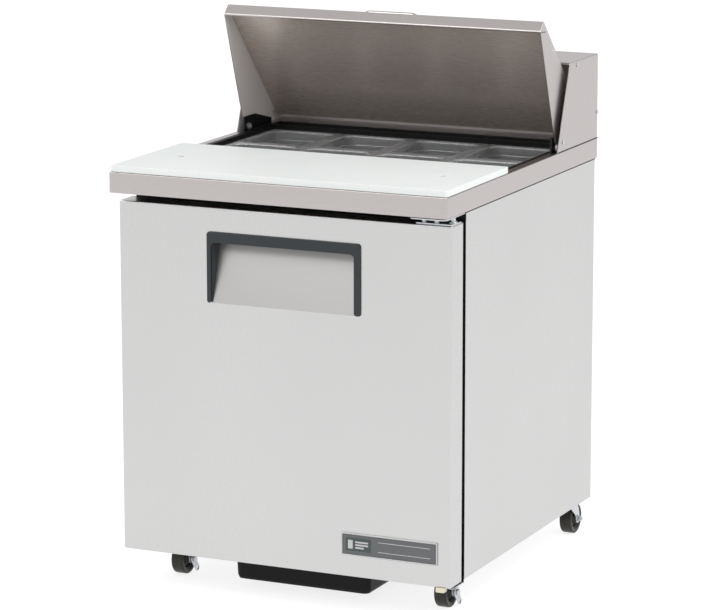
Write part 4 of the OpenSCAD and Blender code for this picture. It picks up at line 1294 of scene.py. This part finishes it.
def make_plates():
    """Top plates with corner bolts."""
    shapes = [eased_shape("caster_plates", 0.7, 3)]
    top = size_of("caster_plates")[1][2]
    for end in ENDS:
        for side in SIDES:
            x, d, _ = joint_place(f"swivel_{end}_{side}")
            for u in (-22, 22):
                for v in (-22, 22):
                    shapes.append(moved(hexagon(5, 3), (x + u, d + v, top - 6.8)))
    link_piece("caster_top_plates", joined(*shapes), "zinc", ["caster_plates"])


def make_fork(end, side):
    """Pressed fork: crown, ball race, two rounded legs, axle bolt, washers and nut."""
    node = f"caster_fork_{end}_{side}"
    x, d, _ = joint_place(f"swivel_{end}_{side}")
    wheel = centre_of(f"caster_wheel_{end}_{side}")
    trail, axle_z, crown, leg_x, gauge = wheel[1] - d, wheel[2], 70, 14, 3
    leg = [(-14, crown), (-13, crown - 8), (-6, crown - 15), (8, crown - 25), (16.5, axle_z + 5)]
    leg += arc(trail, axle_z, 9.5, 165, 375, 14) + [(33, 46), (25.5, 60), (20, crown)]
    shapes = []
    for inner in (-leg_x - gauge, leg_x):
        shapes.append(moved(plate([leg, circle(trail, axle_z, 4, 24)], gauge, 0.7), (x + inner, d, 0),
                            FACING["side"]))
    half = leg_x + gauge - 0.2
    shapes.append(moved(plate([rounded((-half, half), (-14, 20), 3), circle(0, 0, 5.1, 24)], gauge, 0.6),
                        (x, d, crown - gauge)))
    race = [(5.1, 0), (12, 0), (16, 1.4), (18, 3.4), (18, 5), (16.5, 6), (5.1, 6), (5.1, 0)]
    shapes.append(moved(lathe(race, 36), (x, d, crown - 6)))
    wheel_place = (x, wheel[1], axle_z)
    bolt = lathe([(0, -21), (3.9, -21), (3.9, 25.4), (3.2, 26.2), (0, 26.2)], 24)
    shapes.append(moved(bolt, wheel_place, (("Y", 90),)))
    for offset, part in ((-21.6, hexagon(6.6, 4.4)), (23.7 if end == "front" else 20, hexagon(6.4, 3.6))):
        shapes.append(moved(part, (x + offset, wheel[1], axle_z), (("Y", 90),)))
    for offset in (-18.2, leg_x + gauge):
        washer = plate([circle(0, 0, 7.4, 28), circle(0, 0, 4, 28)], 1.2, 0.3)
        shapes.append(moved(washer, (x + offset, wheel[1], axle_z), (("Y", 90),)))
    link_piece(node + "_finished", joined(*shapes), "zinc", [node])


def make_brake(side):
    """Brake lever on the axle: an eye, a tapering arm and a toe ring."""
    node = f"brake_pedal_{side}"
    lo, hi = size_of(node)
    d = joint_place(f"swivel_front_{side}")[1]
    wheel = centre_of(f"caster_wheel_front_{side}")
    trail, axle_z = wheel[1] - d, wheel[2]
    toe = (trail + 15, 9.5)
    arm = arc(trail, axle_z, 10.5, -15, 235, 18) + arc(*toe, 7, 190, 400, 14)
    loops = [arm, circle(trail, axle_z, 4.2, 28), circle(*toe, 4.4, 24)]
    shape = moved(plate(loops, hi[0] - lo[0], 0.7), (lo[0], d, 0), FACING["side"])
    rib_turn = math.degrees(math.atan2(toe[1] - axle_z, 15))
    rib = moved(plate([rounded((9, 21), (-1.2, 1.2), 1.1, 3)], 1.0, 0.4),
                (hi[0] - 0.3, wheel[1], axle_z), (("Z", rib_turn), *FACING["side"]))
    link_piece(node + "_finished", joined(shape, rib), "zinc", [node])


def make_wheel(node):
    lo, hi = size_of(node)
    centre = centre_of(node)
    r, half = (hi[2] - lo[2]) / 2, (hi[0] - lo[0]) / 2
    bore = 4.05
    shoulder = arc(r - 3.6, half - 3.6, 3.6, 90, 0, 5)
    tyre = [(r - 10, half - 2), (r - 8, half - 0.6), *shoulder, *[(x, -y) for x, y in shoulder[::-1]],
            (r - 8, 0.6 - half), (r - 10, 2 - half), (r - 10, half - 2)]
    hub = [(r - 9.5, half - 3), (r - 12, half - 3.5), (r - 13, half - 8), (12, half - 8), (11, half - 4),
           (10, half - 0.4), (9, half), (bore, half), (bore, -half), (9, -half), (10, 0.4 - half),
           (11, 4 - half), (12, 8 - half), (r - 13, 8 - half), (r - 12, 3.5 - half), (r - 9.5, 3 - half),
           (r - 9.5, half - 3)]
    shape = moved(joined(lathe(tyre, 72), (lathe(hub, 72), 1)), centre, (("Y", 90),))
    link_piece(node + "_tyre", shape, ["caster_rubber", "caster_hub"], [node], sharp=40)


# ---------- carried-over shapes ----------

EASED = {"rail_liner": 1.2, "divider_bars": 0.8, "breaker_frame": 1.0, "lid_hinge_brackets": 0.5,
         "shelf_clips": 0.5, "interior_liner": 0.4}
OWN_FINISH = {"divider_bars": "zinc_black", "lid_hinge_brackets": "zinc_black"}


def make_carried_over():
    for node, width in EASED.items():
        finish = OWN_FINISH.get(node, SLOT_OF[node])
        link_piece(node + "_finished", eased_shape(node, width), finish, [node])
    for name, node in frame["nodes"].items():
        if node.hide_render:
            continue
        if not node.material_slots:
            node.data.materials.append(None)
        for place in node.material_slots:
            place.material = MATERIALS[SLOT_OF[name]]


make_camera()
make_studio()
make_countertop()
make_hood()
make_gap_shade_beads()
make_cabinet()
make_lid()
make_bolts()
make_pull()
make_door()
make_gasket()
make_handle()
make_hinges()
make_badge()
make_board()
for end in ENDS:
    for column in range(1, 5):
        make_pan(f"food_pan_{end}_{column}")
    for side in SIDES:
        make_wheel(f"caster_wheel_{end}_{side}")
        make_fork(end, side)
for side in SIDES:
    make_brake(side)
make_plates()
make_drip_tray()
make_shelf()
make_pilasters()
make_evaporator_cover()
make_dial()
make_fan("evaporator_fan", "fan_plastic", 34, 17)
make_fan("condenser_fan", "fan_metal", 56, 18)
make_compressor()
make_lines()
make_shroud()
make_rear_cover()
make_gland()
make_carried_over()
